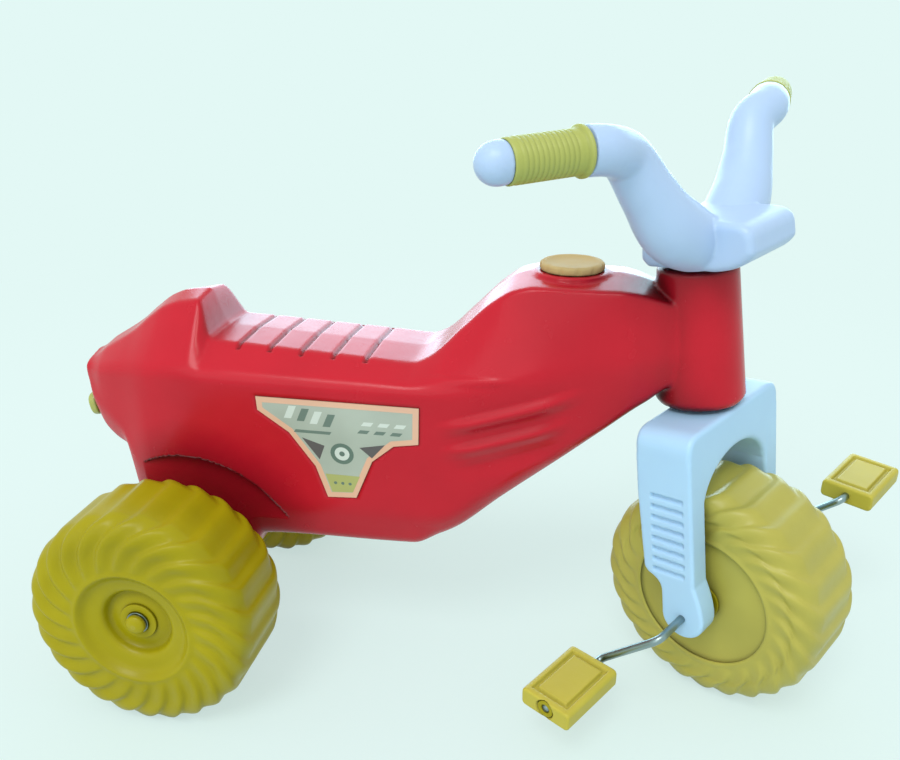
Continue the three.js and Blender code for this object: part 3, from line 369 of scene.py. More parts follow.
def fused(piece, voxel, rounds):
    """Overlapping solids melted into one skin, with soft corners as blow moulding leaves them."""
    coarse = 1.0
    remesh = piece.modifiers.new("remesh", "REMESH")
    remesh.mode = "VOXEL"
    remesh.voxel_size = voxel * MM * coarse
    remesh.adaptivity = 0.0
    smooth = piece.modifiers.new("smooth", "SMOOTH")
    smooth.factor = 0.5
    smooth.iterations = rounds
    graph = bpy.context.evaluated_depsgraph_get()
    mesh = bpy.data.meshes.new_from_object(piece.evaluated_get(graph))
    mesh.name = piece.name
    old, piece.data = piece.data, mesh
    piece.modifiers.clear()
    bpy.data.meshes.remove(old)
    mesh.shade_smooth()
    return piece


def local_points(piece, place):
    """(vertices, normals) of a piece in a local frame, in millimetres."""
    count = len(piece.data.vertices)
    points = np.empty(count * 3)
    piece.data.vertices.foreach_get("co", points)
    normals = np.empty(count * 3)
    piece.data.vertex_normals.foreach_get("vector", normals)
    inverse = np.array(place.inverted())
    turn = inverse[:3, :3] * MM
    return placed(points.reshape(-1, 3), inverse), normals.reshape(-1, 3) @ turn.T


def set_points(piece, points, place):
    piece.data.vertices.foreach_set("co", placed(points, place).ravel())
    piece.data.update()


def floored(piece, place, height):
    """No point of the piece below a height in a local frame."""
    points = local_points(piece, place)[0]
    points[:, 2] = np.maximum(points[:, 2], height)
    set_points(piece, points, place)


def eased(t):
    """A share from 0 to 1, with a soft start and end."""
    t = np.clip(t, 0, 1)
    return t * t * (3 - 2 * t)


def ramped(value, start, end, slope):
    """1 between start and end, falling to 0 at each over the slope's length."""
    return np.clip((value - start) / slope, 0, 1) * np.clip((end - value) / slope, 0, 1)


def bump_of(distance, width):
    """A soft round rise: 1 at distance 0, 0 at the width."""
    return eased(1 - np.abs(distance) / width)


# ---- Materials ----
# Noise scales, heights of the bumps in metres, and the pointiness of the edges paled as wear and as a
# painted highlight, and of the creases darkened as painted shade.
CLOUD_SCALE, GLOSS_SCALE, WAVE_SCALE = 14, 45, 60
WAVE_HEIGHT, GRAIN_HEIGHT = 0.0012, 0.00015
EDGE_START, EDGE_FULL = 0.53, 0.66
CREASE_FULL, CREASE_START = 0.40, 0.485


def linear(*levels):
    """A shader's colour from sRGB levels up to 255."""
    shares = [level / 255 for level in levels]
    return (*(c / 12.92 if c <= 0.04045 else ((c + 0.055) / 1.055) ** 2.4 for c in shares), 1)


def tint(colour, factor):
    return (*(min(c * factor, 1) for c in colour[:3]), 1)


def feed(tree, node, inputs):
    """Each named input of a node set to a value, or joined to another node's output."""
    for key, value in inputs.items():
        if isinstance(value, bpy.types.NodeSocket):
            tree.links.new(value, node.inputs[key])
        else:
            node.inputs[key].default_value = value


def new_node(tree, kind, inputs, **settings):
    """A new node with its settings and its inputs."""
    node = tree.nodes.new("ShaderNode" + kind)
    for key, value in settings.items():
        setattr(node, key, value)
    feed(tree, node, inputs)
    return node


def material(name, colour, roughness, variation, bump=0.12, grain=900, metallic=0.0, coat=0.0,
             specular=0.5, subsurface=0.0, reach=0.015, depth=0.45, clear=0.9, paling=0.22):
    """Moulded plastic or metal: cloudy colour, uneven gloss, fine grain, edges paled as wear and as a
    painted highlight, painted shade in crevices and creases.

    Where other surfaces stand within the reach, the colour falls towards the depth's share of it as
    painted shade, and so it does in creases of low pointiness.
    """
    made = bpy.data.materials.new(name)
    made.use_nodes = True
    tree = made.node_tree
    where = new_node(tree, "TexCoord", {}).outputs["Object"]

    def noise(scale, detail):
        texture = new_node(tree, "TexNoise", {"Vector": where, "Scale": scale, "Detail": detail})
        return texture.outputs["Fac"]

    def mapped(value, low=0, high=1, first=0, last=1):
        limits = {"From Min": low, "From Max": high, "To Min": first, "To Max": last}
        return new_node(tree, "MapRange", {"Value": value, **limits}).outputs["Result"]

    def bumpy(height, distance, **more):
        inputs = {"Height": height, "Strength": bump, "Distance": distance, **more}
        return new_node(tree, "Bump", inputs).outputs["Normal"]

    ramp = new_node(tree, "ValToRGB", {"Fac": noise(CLOUD_SCALE, 3)})
    for stop, side in zip(ramp.color_ramp.elements, (-1, 1)):
        stop.position = 0.5 + 0.2 * side
        stop.color = tint(colour, 1 + variation * side)
    point = new_node(tree, "NewGeometry", {}).outputs["Pointiness"]
    # Sharp outer edges turn paler: partly wear, partly a painted edge highlight.
    edge_pale_share = mapped(point, EDGE_START, EDGE_FULL, last=paling)
    pale = (*(c * 0.6 + 0.3 for c in colour[:3]), 1)
    shades = {"Factor": edge_pale_share, "A": ramp.outputs["Color"], "B": pale}
    edge_paled = new_node(tree, "Mix", shades, data_type="RGBA")
    # Painted shade: the colour darkens where other surfaces stand near (ambient occlusion) and in
    # concave creases.
    shade_probe = new_node(tree, "AmbientOcclusion", {"Distance": reach}, samples=8)
    near = mapped(shade_probe.outputs["AO"], 0.35, clear, depth)
    crease_shade = mapped(point, CREASE_FULL, CREASE_START, depth)
    both = new_node(tree, "Math", {0: near, 1: crease_shade}, operation="MULTIPLY")
    painted_shade_inputs = {"Value": both.outputs[0], "Color": edge_paled.outputs["Result"]}
    low = bumpy(noise(WAVE_SCALE, 2), WAVE_HEIGHT)
    feed(tree, tree.nodes["Principled BSDF"], {
        "Base Color": new_node(tree, "HueSaturation", painted_shade_inputs).outputs["Color"],
        "Roughness": mapped(noise(GLOSS_SCALE, 5), first=roughness - 0.06, last=roughness + 0.08),
        "Normal": bumpy(noise(grain, 4), GRAIN_HEIGHT, Normal=low),
        "Metallic": metallic,
        "Coat Weight": coat,
        "Coat Roughness": 0.12,
        "Specular IOR Level": specular,
        "Subsurface Weight": subsurface,
        "Subsurface Radius": (0.004, 0.003, 0.002),
    })
    return made


REAR_LIME = linear(164, 154, 8)
GRIP_LIME = linear(176, 184, 92)

# The red takes deep painted shade within 6 cm of other surfaces, as the contact shadow in the arches
# and beside the wheels.
red_plastic = material("red_moulded_plastic", linear(197, 25, 44), 0.24, 0.05, specular=0.25,
                       bump=0.1, reach=0.06, depth=0.12, clear=1.0, paling=0.08)
fork_plastic = material("pale_blue_fork_plastic", linear(180, 222, 255), 0.34, 0.03,
                        specular=0.35, subsurface=0.06, depth=0.8)
bar_plastic = material("pale_blue_bar_plastic", linear(182, 210, 244), 0.34, 0.03,
                       specular=0.4, subsurface=0.06, depth=0.8)
rear_lime = material("lime_rear_wheel_plastic", REAR_LIME, 0.32, 0.1, bump=0.16, specular=0.22)
front_lime = material("lime_front_wheel_plastic", linear(180, 174, 80), 0.34, 0.08, bump=0.16,
                      specular=0.3)
bush_plastic = material("lime_bush_plastic", REAR_LIME, 0.4, 0.08, bump=0.16, specular=0.2)
pedal_lime = material("lime_pedal_plastic", linear(194, 184, 70), 0.4, 0.08, bump=0.18,
                      specular=0.25, depth=0.7)
cap_lime = material("lime_cap_plastic", linear(190, 168, 116), 0.5, 0.06, bump=0.16,
                    specular=0.02, depth=0.8)
grip_plastic = material("lime_grip_plastic", GRIP_LIME, 0.45, 0.06, bump=0.25, grain=1400)
lamp_plastic = material("lime_lamp_plastic", GRIP_LIME, 0.2, 0.05, coat=0.4)
dark_plastic = material("dark_bush_plastic", linear(38, 40, 44), 0.5, 0.2, bump=0.2)
steel = material("zinc_plated_steel", linear(150, 166, 168), 0.32, 0.12, bump=0.1, metallic=1.0)
# The label's colours, each with its variation, in the order in which label_layers names them.
LABEL_COLOURS = {
    "cream": ((234, 184, 152), 0.05),
    "field": ((174, 186, 172), 0.12),
    "foot": ((172, 178, 92), 0.06),
    "dark": ((62, 56, 56), 0.1),
    "pale": ((214, 226, 216), 0.05),
    "grey": ((86, 114, 100), 0.08),
}
label_looks = [
    material(f"label_{name}", linear(*colour), 0.4, variation, bump=0.04)
    for name, (colour, variation) in LABEL_COLOURS.items()
]


def finish_piece(piece, look, slot, body, *nodes):
    """Gives a piece its material and its body, and hides the CAD nodes that it stands for; the slot is
    not used.
    """
    piece.data.materials.clear()
    piece.data.materials.append(look)
    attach(piece, body)
    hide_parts(*nodes)


def make_piece(name, parts, place, look, slot, body, node):
    """A finished piece straight from solids."""
    finish_piece(make(name, parts, place), look, slot, body, node)


def dress_frame():
    """Steel on the CAD nodes that keep their own shape."""
    for node in ("rear_axle", "steering_bolt", "steering_washer", "steering_nut"):
        piece = frame["nodes"][node]
        if not piece.data.materials:
            piece.data.materials.append(steel)
        for place in piece.material_slots:
            place.material = steel


# ---- Body ----
TAIL = -118
NOSE = 445
KEEL = 121
LOWEST = 82
SIDE_TOP = (BODY_HALF_WIDTH, 298)
SIDE_BOTTOM = (60, 165)
SEAT_HALF = 45
SEAT_BACK = 26
BODY_LINES = {
    "top_z": [
        [TAIL, 290], [-95, 304], [-64, 323], [-44, 339], [-28, 350], [-11, 356], [10, 358],
        [SEAT_BACK, 324], [62, 322], [120, 319], [180, 316], [216, 314], [230, 319], [262, 349],
        [288, 375], [306, 387], [325, TANK_TOP], [392, TANK_TOP], [406, 389], [420, 385], [NOSE, 378],
    ],
    "top_half": [
        [TAIL, 20], [-64, 24], [-20, 26], [10, 29], [SEAT_BACK, 43], [62, SEAT_HALF],
        [200, SEAT_HALF], [232, 43], [262, 41], [306, 47], [392, 46], [420, 38], [NOSE, 30],
    ],
    "top_drop": [
        [TAIL, 5], [-20, 6], [10, 4], [SEAT_BACK, 2], [222, 2], [262, 3], [306, 5], [NOSE, 6],
    ],
    "shoulder_z": [
        [TAIL, 281], [-64, 290], [0, SIDE_TOP[1]], [240, SIDE_TOP[1]], [317, 312], [370, 322],
        [NOSE, 330],
    ],
    "shoulder_half": [
        [TAIL, 28], [-95, 41], [-64, 53], [-30, 65], [20, 73], [60, SIDE_TOP[0]], [240, SIDE_TOP[0]],
        [317, 72], [360, 64], [405, 51], [425, 41], [NOSE, 33],
    ],
    "belly_z": [
        [TAIL, 270], [-112, 250], [-95, 236], [-74, 216], [-60, 188], [-40, SIDE_BOTTOM[1]],
        [240, SIDE_BOTTOM[1]], [288, 196], [340, 234], [385, 264], [420, 290], [NOSE, 302],
    ],
    "belly_half": [
        [TAIL, 27], [-112, 33], [-95, 40], [-66, 49], [-40, 57], [60, SIDE_BOTTOM[0]],
        [240, SIDE_BOTTOM[0]], [288, 59], [340, 55], [385, 49], [420, 40], [NOSE, 31],
    ],
    "bottom_z": [
        [TAIL, 262], [-112, 230], [-102, 211], [-90, 203], [-76, 199], [-70, 150], [-58, 98],
        [-40, LOWEST], [34, LOWEST], [48, 98], [62, KEEL - 3], [90, KEEL], [215, KEEL + 4],
        [240, 138], [261, 151], [298, 184], [351, 228], [385, 257], [420, 285], [NOSE, 300],
    ],
    "bottom_half": [
        [TAIL, 22], [-102, 30], [-66, 40], [-40, 46], [215, 46], [261, 45], [351, 41], [420, 34],
        [NOSE, 28],
    ],
}
CORNER_RADII = (14, 9, 9, 3.5)  # of the bottom, belly, shoulder and top corners
BODY_STEP = 2
BODY_VOXEL = 1.5


def line(name, x):
    return along(BODY_LINES[name], x)


def body_section(x):
    """The body's outline at x as a closed ring."""
    at = {name: float(line(name, x)) for name in BODY_LINES}
    top, bottom = at["top_z"], at["bottom_z"]
    corners = [
        (0, bottom),
        (at["bottom_half"], bottom),
        (at["belly_half"], max(at["belly_z"], bottom + 3)),
        (at["shoulder_half"], at["shoulder_z"]),
        (at["top_half"], top - at["top_drop"]),
        (0, top),
    ]
    half = rounded_path(corners, CORNER_RADII)
    left = np.column_stack([np.full(len(half), x), half])
    return np.vstack([left, left[1:-1][::-1] * [1, -1, 1]])


# Ridges along each flank, and a hollow below them: the ends as (x, z), how far each reaches up, and
# how far it stands out. The lower side of each is wider and softer than the upper.
RIDGES = [
    ((238, 259), (376, 303), 7.5, 5), ((242, 235), (366, 275), 7.5, 5),
    ((226, 305), (318, 312), 4, 1.5), ((250, 216), (366, 254), 9, -2),
]
RIDGE_LOWER_SIDE = 1.8
RIDGE_END_SHARE = 0.3  # of the length, over which an end fades
GROOVE_HALF_WIDTH, GROOVE_DEPTH = 3.2, 3
LABEL_EDGE_HALF_WIDTH, LABEL_EDGE_DEPTH = 2.6, 0.9


def body_shape():
    xs = np.arange(TAIL, NOSE + BODY_STEP, BODY_STEP)
    outside = skin([body_section(x) for x in np.clip(xs, TAIL, NOSE)])
    cap_ring = rod(CAP_RADIUS + 5, TANK_TOP - 8, TANK_TOP + 1, 64)
    tube_points, tube_faces = revolve([
        (0, HEAD_BOTTOM), (HEAD_BOTTOM_RADIUS - 3, HEAD_BOTTOM),
        (HEAD_BOTTOM_RADIUS, HEAD_BOTTOM + 5), (HEAD_TOP_RADIUS, HEAD_TOP - 3),
        (HEAD_TOP_RADIUS - 3, HEAD_TOP), (0, HEAD_TOP),
    ], 96, "z")
    head_tube = placed(tube_points, trike.inverted() @ head), tube_faces
    end = AXLE_BOSS_END
    boss = revolve([(0, 46), (15, 46), (15, end - 1), (14, end), (0, end)], 48)
    bosses = [moved(mirrored(boss, sign), (0, 0, WHEEL_RADIUS)) for sign in SIDES.values()]
    return [outside, head_tube, moved(cap_ring, (CAP_CENTRE, 0, 0)), *bosses]


def cut_arches(points):
    """The round recess in each flank behind a rear wheel, with a clean edge."""
    x, y, z = points.T
    away = np.hypot(x, z - WHEEL_RADIUS)
    flank = (np.abs(y) > ARCH_HALF_WIDTH) & (away > 20)
    near = np.abs(away - ARCH_RADIUS) < 0.7 * BODY_VOXEL
    snap = np.where(flank & near, ARCH_RADIUS / np.maximum(away, 1), 1)
    depth = np.where(flank & (away < ARCH_RADIUS), np.sign(y) * ARCH_HALF_WIDTH, y)
    return np.column_stack([x * snap, depth, WHEEL_RADIUS + (z - WHEEL_RADIUS) * snap])


def seat_grooves(x, y, z, up):
    """How far the seat's skin sinks in the narrow grooves between its pads."""
    on_seat = np.abs(y) < line("top_half", x) + 5
    on_top = np.clip((z - (line("top_z", x) - line("top_drop", x) - 7)) / 4, 0, 1)
    places = SEAT_FIRST_GROOVE + SEAT_GROOVE_PITCH * np.arange(SEAT_GROOVES)
    sink = sum(bump_of(x - place, GROOVE_HALF_WIDTH) for place in places)
    return GROOVE_DEPTH * sink * on_seat * on_top * up


def flank_ridges(x, y, z, side):
    """How far the long ridges stand out of the flanks."""
    rise = np.zeros(len(x))
    for (x0, z0), (x1, z1), half, height in RIDGES:
        length = math.hypot(x1 - x0, z1 - z0)
        ahead = ((x - x0) * (x1 - x0) + (z - z0) * (z1 - z0)) / length
        off = ((z - z0) * (x1 - x0) - (x - x0) * (z1 - z0)) / length
        swell = eased(np.minimum(ahead, length - ahead) / length / RIDGE_END_SHARE)
        rise += height * swell * bump_of(off, np.where(off > 0, half, RIDGE_LOWER_SIDE * half))
    return rise * side * (np.abs(y) > 20)


def carve_body(piece):
    """The seat's grooves, the flanks' ridges, the sunk edge round each label and the arches."""
    points, normals = local_points(piece, trike)
    x, y, z = points.T
    push = flank_ridges(x, y, z, np.abs(normals[:, 1]) ** 0.5)
    push -= seat_grooves(x, y, z, np.clip(normals[:, 2], 0, 1))
    edge = bump_of(label_distance(x, z), LABEL_EDGE_HALF_WIDTH)
    push -= LABEL_EDGE_DEPTH * edge * (np.abs(normals[:, 1]) > 0.8)
    set_points(piece, cut_arches(points + normals * push[:, None]), trike)


def make_body():
    piece = fused(make("body", body_shape(), trike), BODY_VOXEL, rounds=7)
    carve_body(piece)
    finish_piece(piece, red_plastic, "red_plastic", "frame", "body_shell")


# ---- Labels ----
# The label's outline on the flat flank, and its own design of bars, a ring and a lime foot: (x, z).
LABEL = [
    (79, 267), (79, 281), (230, 281), (228, 244), (205, 240), (184, 222), (166, 181), (138, 179),
    (129, 212), (107, 246),
]
LABEL_TILT = math.atan2(SIDE_TOP[0] - SIDE_BOTTOM[0], SIDE_TOP[1] - SIDE_BOTTOM[1])
PRINT_STEP = 0.05


def label_distance(x, z):
    """How far points of the flank are from the label's outline."""
    nearest = np.full(len(x), 1e9)
    for (x0, z0), (x1, z1) in zip(LABEL, LABEL[1:] + LABEL[:1]):
        ex, ez = x1 - x0, z1 - z0
        share = np.clip(((x - x0) * ex + (z - z0) * ez) / (ex * ex + ez * ez), 0, 1)
        nearest = np.minimum(nearest, np.hypot(x - x0 - share * ex, z - z0 - share * ez))
    return nearest


def slanted(x, z, width, height, slant):
    """A parallelogram with its lower left corner at (x, z)."""
    return [(x, z), (x + width, z), (x + width + slant, z + height), (x + slant, z + height)]


def disc(x, z, radius, steps=24):
    return arc(x, z, radius, radius, 0, TURN, steps)[:-1]


def label_layers():
    """The label's shapes from the base up: (outline, level, place in LABEL_COLOURS)."""
    cream, field, foot, dark, pale, grey = range(len(LABEL_COLOURS))
    layers = [(shrunk(LABEL, GAP), 0, cream), (shrunk(LABEL, 5.8), 1, field)]
    layers.append(([(138, 205), (171, 205), (163, 187), (143, 185.5)], 2, foot))
    for k in range(4):
        layers.append((slanted(104 + 12 * k, 261 - 2 * k, 7, 13, 6), 2, (pale, grey)[k % 2]))
    for k in range(3):
        layers.append((slanted(176 + 15 * k, 259, 9, 4, 3), 2, pale))
        layers.append((slanted(172 + 15 * k, 251, 9, 3.5, 3), 2, grey))
    layers += [
        (slanted(112, 247, 34, 3, 2), 2, grey),
        ([(119, 242), (140, 235), (134, 220)], 2, dark),
        ([(173, 236), (197, 241), (184, 226)], 2, dark),
        (disc(156, 228, 11), 2, grey),
        (disc(156, 228, 7), 3, pale),
        (disc(156, 228, 2.6, 16), 4, grey),
    ]
    return layers + [(disc(147 + 7 * k, 196, 1.6, 12), 3, grey) for k in range(3)]


def make_labels():
    """A thin printed plate on each flank, in one piece with a colour for each printed shape."""
    low_half, low_z = SIDE_BOTTOM
    flank = Matrix.Translation((0, low_half, low_z)) @ Matrix.Rotation(-LABEL_TILT, 4, "X")
    for side, sign in SIDES.items():
        parts, looks = [], []
        for outline, level, look in label_layers():
            flat = [(x, (z - low_z) / math.cos(LABEL_TILT)) for x, z in outline]
            low = -0.6 if level == 0 else 0.2 + PRINT_STEP * (level - 1)
            points, faces = prism(flat, low, 0.25 + PRINT_STEP * level, "xz")
            parts.append(mirrored((placed(points, flank), faces), sign))
            looks += [look] * len(faces)
        piece = make(f"{side}_flank_label", parts, trike)
        piece.data.shade_flat()
        finish_piece(piece, label_looks[0], "label_film", "frame", f"label_{side}")
        for look in label_looks[1:]:
            piece.data.materials.append(look)
        piece.data.polygons.foreach_set("material_index", looks)


# ---- Wheels ----
def wheel_rows(dish):
    """Half of the outside: (radius, distance from the middle, lug's rise out and sideways, sweep)."""
    half, rim = WHEEL_HALF_WIDTH, dish["rim"]
    side = half - LUG_HEIGHT
    tread = [
        (TREAD_RADIUS, 0, 1, 0, 0),
        (TREAD_RADIUS, half - 26, 1, 0, 0),
        (TREAD_RADIUS - 0.8, half - 18, 1, 0.1, 0.04),
        (TREAD_RADIUS - 4, half - 10, 0.9, 0.4, 0.2),
        (TREAD_RADIUS - 9.5, half - 5.6, 0.75, 0.65, 0.38),
        (TREAD_RADIUS - 16, side - 0.6, 0.35, 0.95, 0.55),
        ((TREAD_RADIUS + rim) / 2, side, 0.05, 1, 0.75),
        (rim + 14, side + 0.9, 0, 0.7, 0.9),
        (rim + BEAD + 1, half - 1.4, 0, 0.15, 1),
    ]
    bead = [
        (rim + BEAD - 1, half - 0.7, 0, 0, 1), (rim + 2, half - 0.5, 0, 0, 1),
        (rim, half - 1.6, 0, 0, 1),
    ]
    bowl = [(radius, half - depth, 0, 0, 1) for radius, depth in dish["steps"]]
    return tread, bead + bowl + [(HUB_BORE + HUB_RIM, half - dish["hub"], 0, 0, 1)]


def lug_shape(phase):
    """Height share along a lug's pitch from its valley: a quick rise to the crest and a slow fall."""
    height = np.where(phase < CREST_PLACE, phase / CREST_PLACE, (1 - phase) / (1 - CREST_PLACE))
    return height - LUG_ROUNDING * np.sin(TURN * height) / TURN


def wheel(dish):
    tread, bowl = wheel_rows(dish)
    hub = WHEEL_HALF_WIDTH - dish["hub"]
    rows = np.vstack([smooth_line(tread, 5), smooth_line(bowl, 5), [(HUB_BORE, hub, 0, 0, 1)]])
    count = LUG_COUNT * LUG_STEPS
    pitches = np.arange(count) / LUG_STEPS
    lug = lug_shape(pitches % 1)
    base = (pitches + 0.5 - CREST_PLACE) / LUG_COUNT * TURN
    both = [(*row, 1) for row in rows] + [(*row, -1) for row in rows[:0:-1]]
    rings = []
    for radius, offset, outwards, sideways, sweep, side in both:
        angle = base - sweep * LUG_SWEEP
        r = radius + outwards * LUG_HEIGHT * lug
        y = side * (offset + sideways * (LUG_HEIGHT - 0.2) * lug)
        rings.append(np.stack([r * np.sin(angle), y, r * np.cos(angle)], 1))
    return skin(rings, closed=True)


def hub_face(dish):
    return WHEEL_HALF_WIDTH - dish["hub"] + GAP + BUSH_FLANGE


def hub_bush(dish, bore):
    face = hub_face(dish)
    flange = face - BUSH_FLANGE
    low, radius, wide = flange - BUSH_DEPTH, HUB_BORE - GAP, HUB_BORE + HUB_RIM - 1
    outline = [
        (bore, low, 0.5), (radius, low, 0.5), (radius, flange, 0), (wide, flange, 0.3),
        (wide, face, 0.8), (radius - 2, face, 0.5), (radius - 3, face - 0.7, 0.5),
        (bore + 2.5, face - 0.7, 0.5), (bore + 1.5, face, 0.4), (bore, face, 0.5),
    ]
    return revolve_rounded(outline)


def make_wheel(name, dish, place, look, body, node, bore, bushes):
    """A wheel, which stands on its two lowest lugs, and the bushes in its hub."""
    piece = make(name, [wheel(dish)], place)
    floored(piece, Matrix.Scale(MM, 4), 0)
    finish_piece(piece, look, "lime_plastic", body, node)
    for sign, kind, bush_node in bushes:
        make_piece(f"{name}_bush_{kind}", [mirrored(hub_bush(dish, bore), sign)], place,
                   bush_plastic, "dark_plastic", body, bush_node)


def make_wheels():
    for side, sign in SIDES.items():
        place = trike @ Matrix.Translation((0, sign * WHEEL_TRACK / 2, WHEEL_RADIUS))
        bushes = [(sign, "outer", f"hub_bush_outer_{side}"),
                  (-sign, "inner", f"hub_bush_inner_{side}")]
        body, node = f"{side}_rear_wheel", f"rear_wheel_{side}"
        make_wheel(body, REAR_DISH, place, rear_lime, body, node, AXLE_RADIUS + GAP, bushes)
    bushes = [(1, "left", "drive_hub_left"), (-1, "right", "drive_hub_right")]
    make_wheel("front_driving_wheel", FRONT_DISH, drive, front_lime, "crank", "front_wheel",
               ROD_RADIUS + GAP, bushes)


# ---- Rear axle ----
def axle_cap(start):
    radius, length, wall, bulge = 9, 7, 1.5, 4
    end = start + length
    dome = arc(0, end - bulge, radius, bulge, 0, TURN / 4, 9)
    bore, blind = AXLE_RADIUS + GAP, end - wall
    return revolve([(0, blind), (bore, blind), (bore, start), (radius - 0.5, start),
                    (radius, start + 0.5), *dome[:-1], (0, end)], 48)


def make_axle_pieces():
    inner = WHEEL_TRACK / 2 - hub_face(REAR_DISH)
    outer = WHEEL_TRACK / 2 + hub_face(REAR_DISH)
    bore, washer = AXLE_RADIUS + GAP, 1.5
    spacer = ring(10, bore, AXLE_BOSS_END + GAP, inner - GAP)
    flat = ring(10, bore, outer + GAP, outer + GAP + washer, 0.3)
    cap = axle_cap(outer + washer + 2 * GAP)
    place = trike @ Matrix.Translation((0, 0, WHEEL_RADIUS))
    kinds = [
        ("spacer", spacer, dark_plastic, "dark_plastic"),
        ("washer", flat, steel, "steel"),
        ("cap", cap, rear_lime, "lime_plastic"),
    ]
    for side, sign in SIDES.items():
        for kind, part, look, slot in kinds:
            make_piece(f"{side}_axle_{kind}", [mirrored(part, sign)], place, look, slot, "frame",
                       f"axle_{kind}_{side}")


# ---- Fork ----
# The slots between a leg's ribs; the slots' walls slope over "side" and their ends over "end".
RIBS = {"count": 8, "pitch": 10.3, "slot": 5.4, "depth": 3, "bottom": 40, "back": -3, "front": 27,
        "side": 1.4, "end": 1.2}


def fork_leg():
    x, z, r = FORK_OFFSET, axle_height, LEG_TIP_RADIUS
    outline = np.vstack([
        [(x - r, z)],
        quadratic((x - r, z + 21), (x - r, z + 32), (8 - CROWN_BACK, z + 36)),
        [(4 - CROWN_BACK, z + 41), (-CROWN_BACK, 116), (-CROWN_BACK, 152), (CROWN_FRONT, 152)],
        quadratic((CROWN_FRONT + 1, 34), (x + r, 14), (x + r, z)),
        arc(x, z, r, r, 0, -TURN / 2)[1:-1],
    ])
    return prism(outline, LEG_INNER, LEG_OUTER, "xz", 3)


def fork_crown():
    springing = CROWN_UNDER - 40
    rise = CROWN_UNDER - springing
    start = math.asin(6 / rise)
    side, shoulder, top = LEG_OUTER, CROWN_SHOULDER, CROWN_TOP
    outline = np.vstack([
        [(-side, springing + 6)],
        quadratic((-side, top - shoulder), (-side, top), (shoulder - side, top)),
        quadratic((side - shoulder, top), (side, top), (side, top - shoulder)),
        [(side, springing + 6)],
        arc(0, springing, LEG_INNER, rise, start, TURN / 2 - start),
    ])
    return prism(outline, -CROWN_BACK, CROWN_FRONT, "yz", 4)


def carve_fork(piece):
    """The recessed panel with its ribs on the outside of each leg."""
    points, normals = local_points(piece, steering)
    x, y, z = points.T
    out = np.clip(np.abs(normals[:, 1]), 0, 1) * (np.abs(y) > (LEG_INNER + LEG_OUTER) / 2)
    back, front = RIBS["back"] - RIBS["end"] / 2, RIBS["front"] + RIBS["end"] / 2
    inside = ramped(x, back, front, RIBS["end"])
    phase = (z - RIBS["bottom"]) / RIBS["pitch"]
    in_slot = ramped(np.mod(phase, 1) * RIBS["pitch"], 0, RIBS["slot"], RIBS["side"])
    in_slot *= (phase > 0) * (phase < RIBS["count"])
    push = -RIBS["depth"] * in_slot * inside * out
    set_points(piece, points + normals * push[:, None], steering)


def make_fork():
    steerer = rod(STEERER_RADIUS, CROWN_TOP - 10, CROWN_TOP + 2)
    legs = [mirrored(fork_leg(), sign) for sign in SIDES.values()]
    piece = make("fork_moulding", [fork_crown(), steerer, *legs], steering)
    fused(piece, voxel=1.0, rounds=4)
    carve_fork(piece)
    finish_piece(piece, fork_plastic, "blue_plastic", "steering", "fork")


def make_bushes():
    """The steering bushes in the head, and the bushes that carry the crank rod in the fork's tips."""
    bore = STEERER_RADIUS + GAP
    wall, flange, length = bore + 3.7, 2.4, 20
    ends = (("upper", HEAD_TOP - length, HEAD_TOP),
            ("lower", HEAD_BOTTOM, HEAD_BOTTOM - flange - GAP))
    for name, low, seat in ends:
        parts = [ring(wall, bore, low, low + length, axis="z"),
                 ring(wall + 7, bore, seat + 0.1, seat + flange, axis="z")]
        make_piece(f"{name}_steering_bush", parts, head, dark_plastic, "dark_plastic", "frame",
                   f"steering_bush_{name}")
    place = steering @ Matrix.Translation((FORK_OFFSET, 0, axle_height))
    inner = LEG_INNER - 2 - GAP
    sleeve = ring(9, ROD_RADIUS + GAP, inner, LEG_OUTER - 1)
    lip = ring(13, ROD_RADIUS + GAP, inner, inner + 2)
    for side, sign in SIDES.items():
        make_piece(f"{side}_fork_bush", [mirrored(part, sign) for part in (sleeve, lip)], place,
                   fork_plastic, "dark_plastic", "steering", f"fork_bush_{side}")


# ---- Handlebar ----
grip_direction = np.array([
    -math.sin(GRIP_SWEEP) * math.cos(GRIP_RISE),
    math.cos(GRIP_SWEEP) * math.cos(GRIP_RISE),
    math.sin(GRIP_RISE),
])
grip_start = np.array([-BAR_SETBACK, BAR_HALF_SPAN, BAR_HEIGHT], float)


def on_grip(part):
    """A solid along +Y from the origin, moved onto the left grip's line."""
    turn = np.array(Vector((0, 1, 0)).rotation_difference(Vector(grip_direction)).to_matrix())
    return part[0] @ turn.T + grip_start, part[1]


def bar_arm():
    rise = HEAD_TOP
    path = smooth_line([
        (14, 14, rise + 17), (9, 56, rise + 42), (4, 80, rise + 73), (-1, 98, rise + 101),
        grip_start - 12 * grip_direction + [0, 0, -2],
        grip_start + 7 * grip_direction,
    ], 10)
    shoulder = GRIP_RADIUS + 1.8
    fore = [[0, 28], [0.3, 25], [0.6, 20], [0.85, shoulder], [1, shoulder]]
    thick = [[0, 24], [0.26, 28], [0.5, 23], [0.74, 19.5], [0.88, shoulder], [1, shoulder]]
    lengths = np.concatenate([[0], np.cumsum(np.linalg.norm(np.diff(path, axis=0), axis=1))])
    even = np.linspace(0, lengths[-1], 40)
    path = np.column_stack([np.interp(even, lengths, path[:, i]) for i in range(3)])
    return tube(path, lambda t: (float(along(fore, t)), float(along(thick, t))), (1, 0, 0), 40)


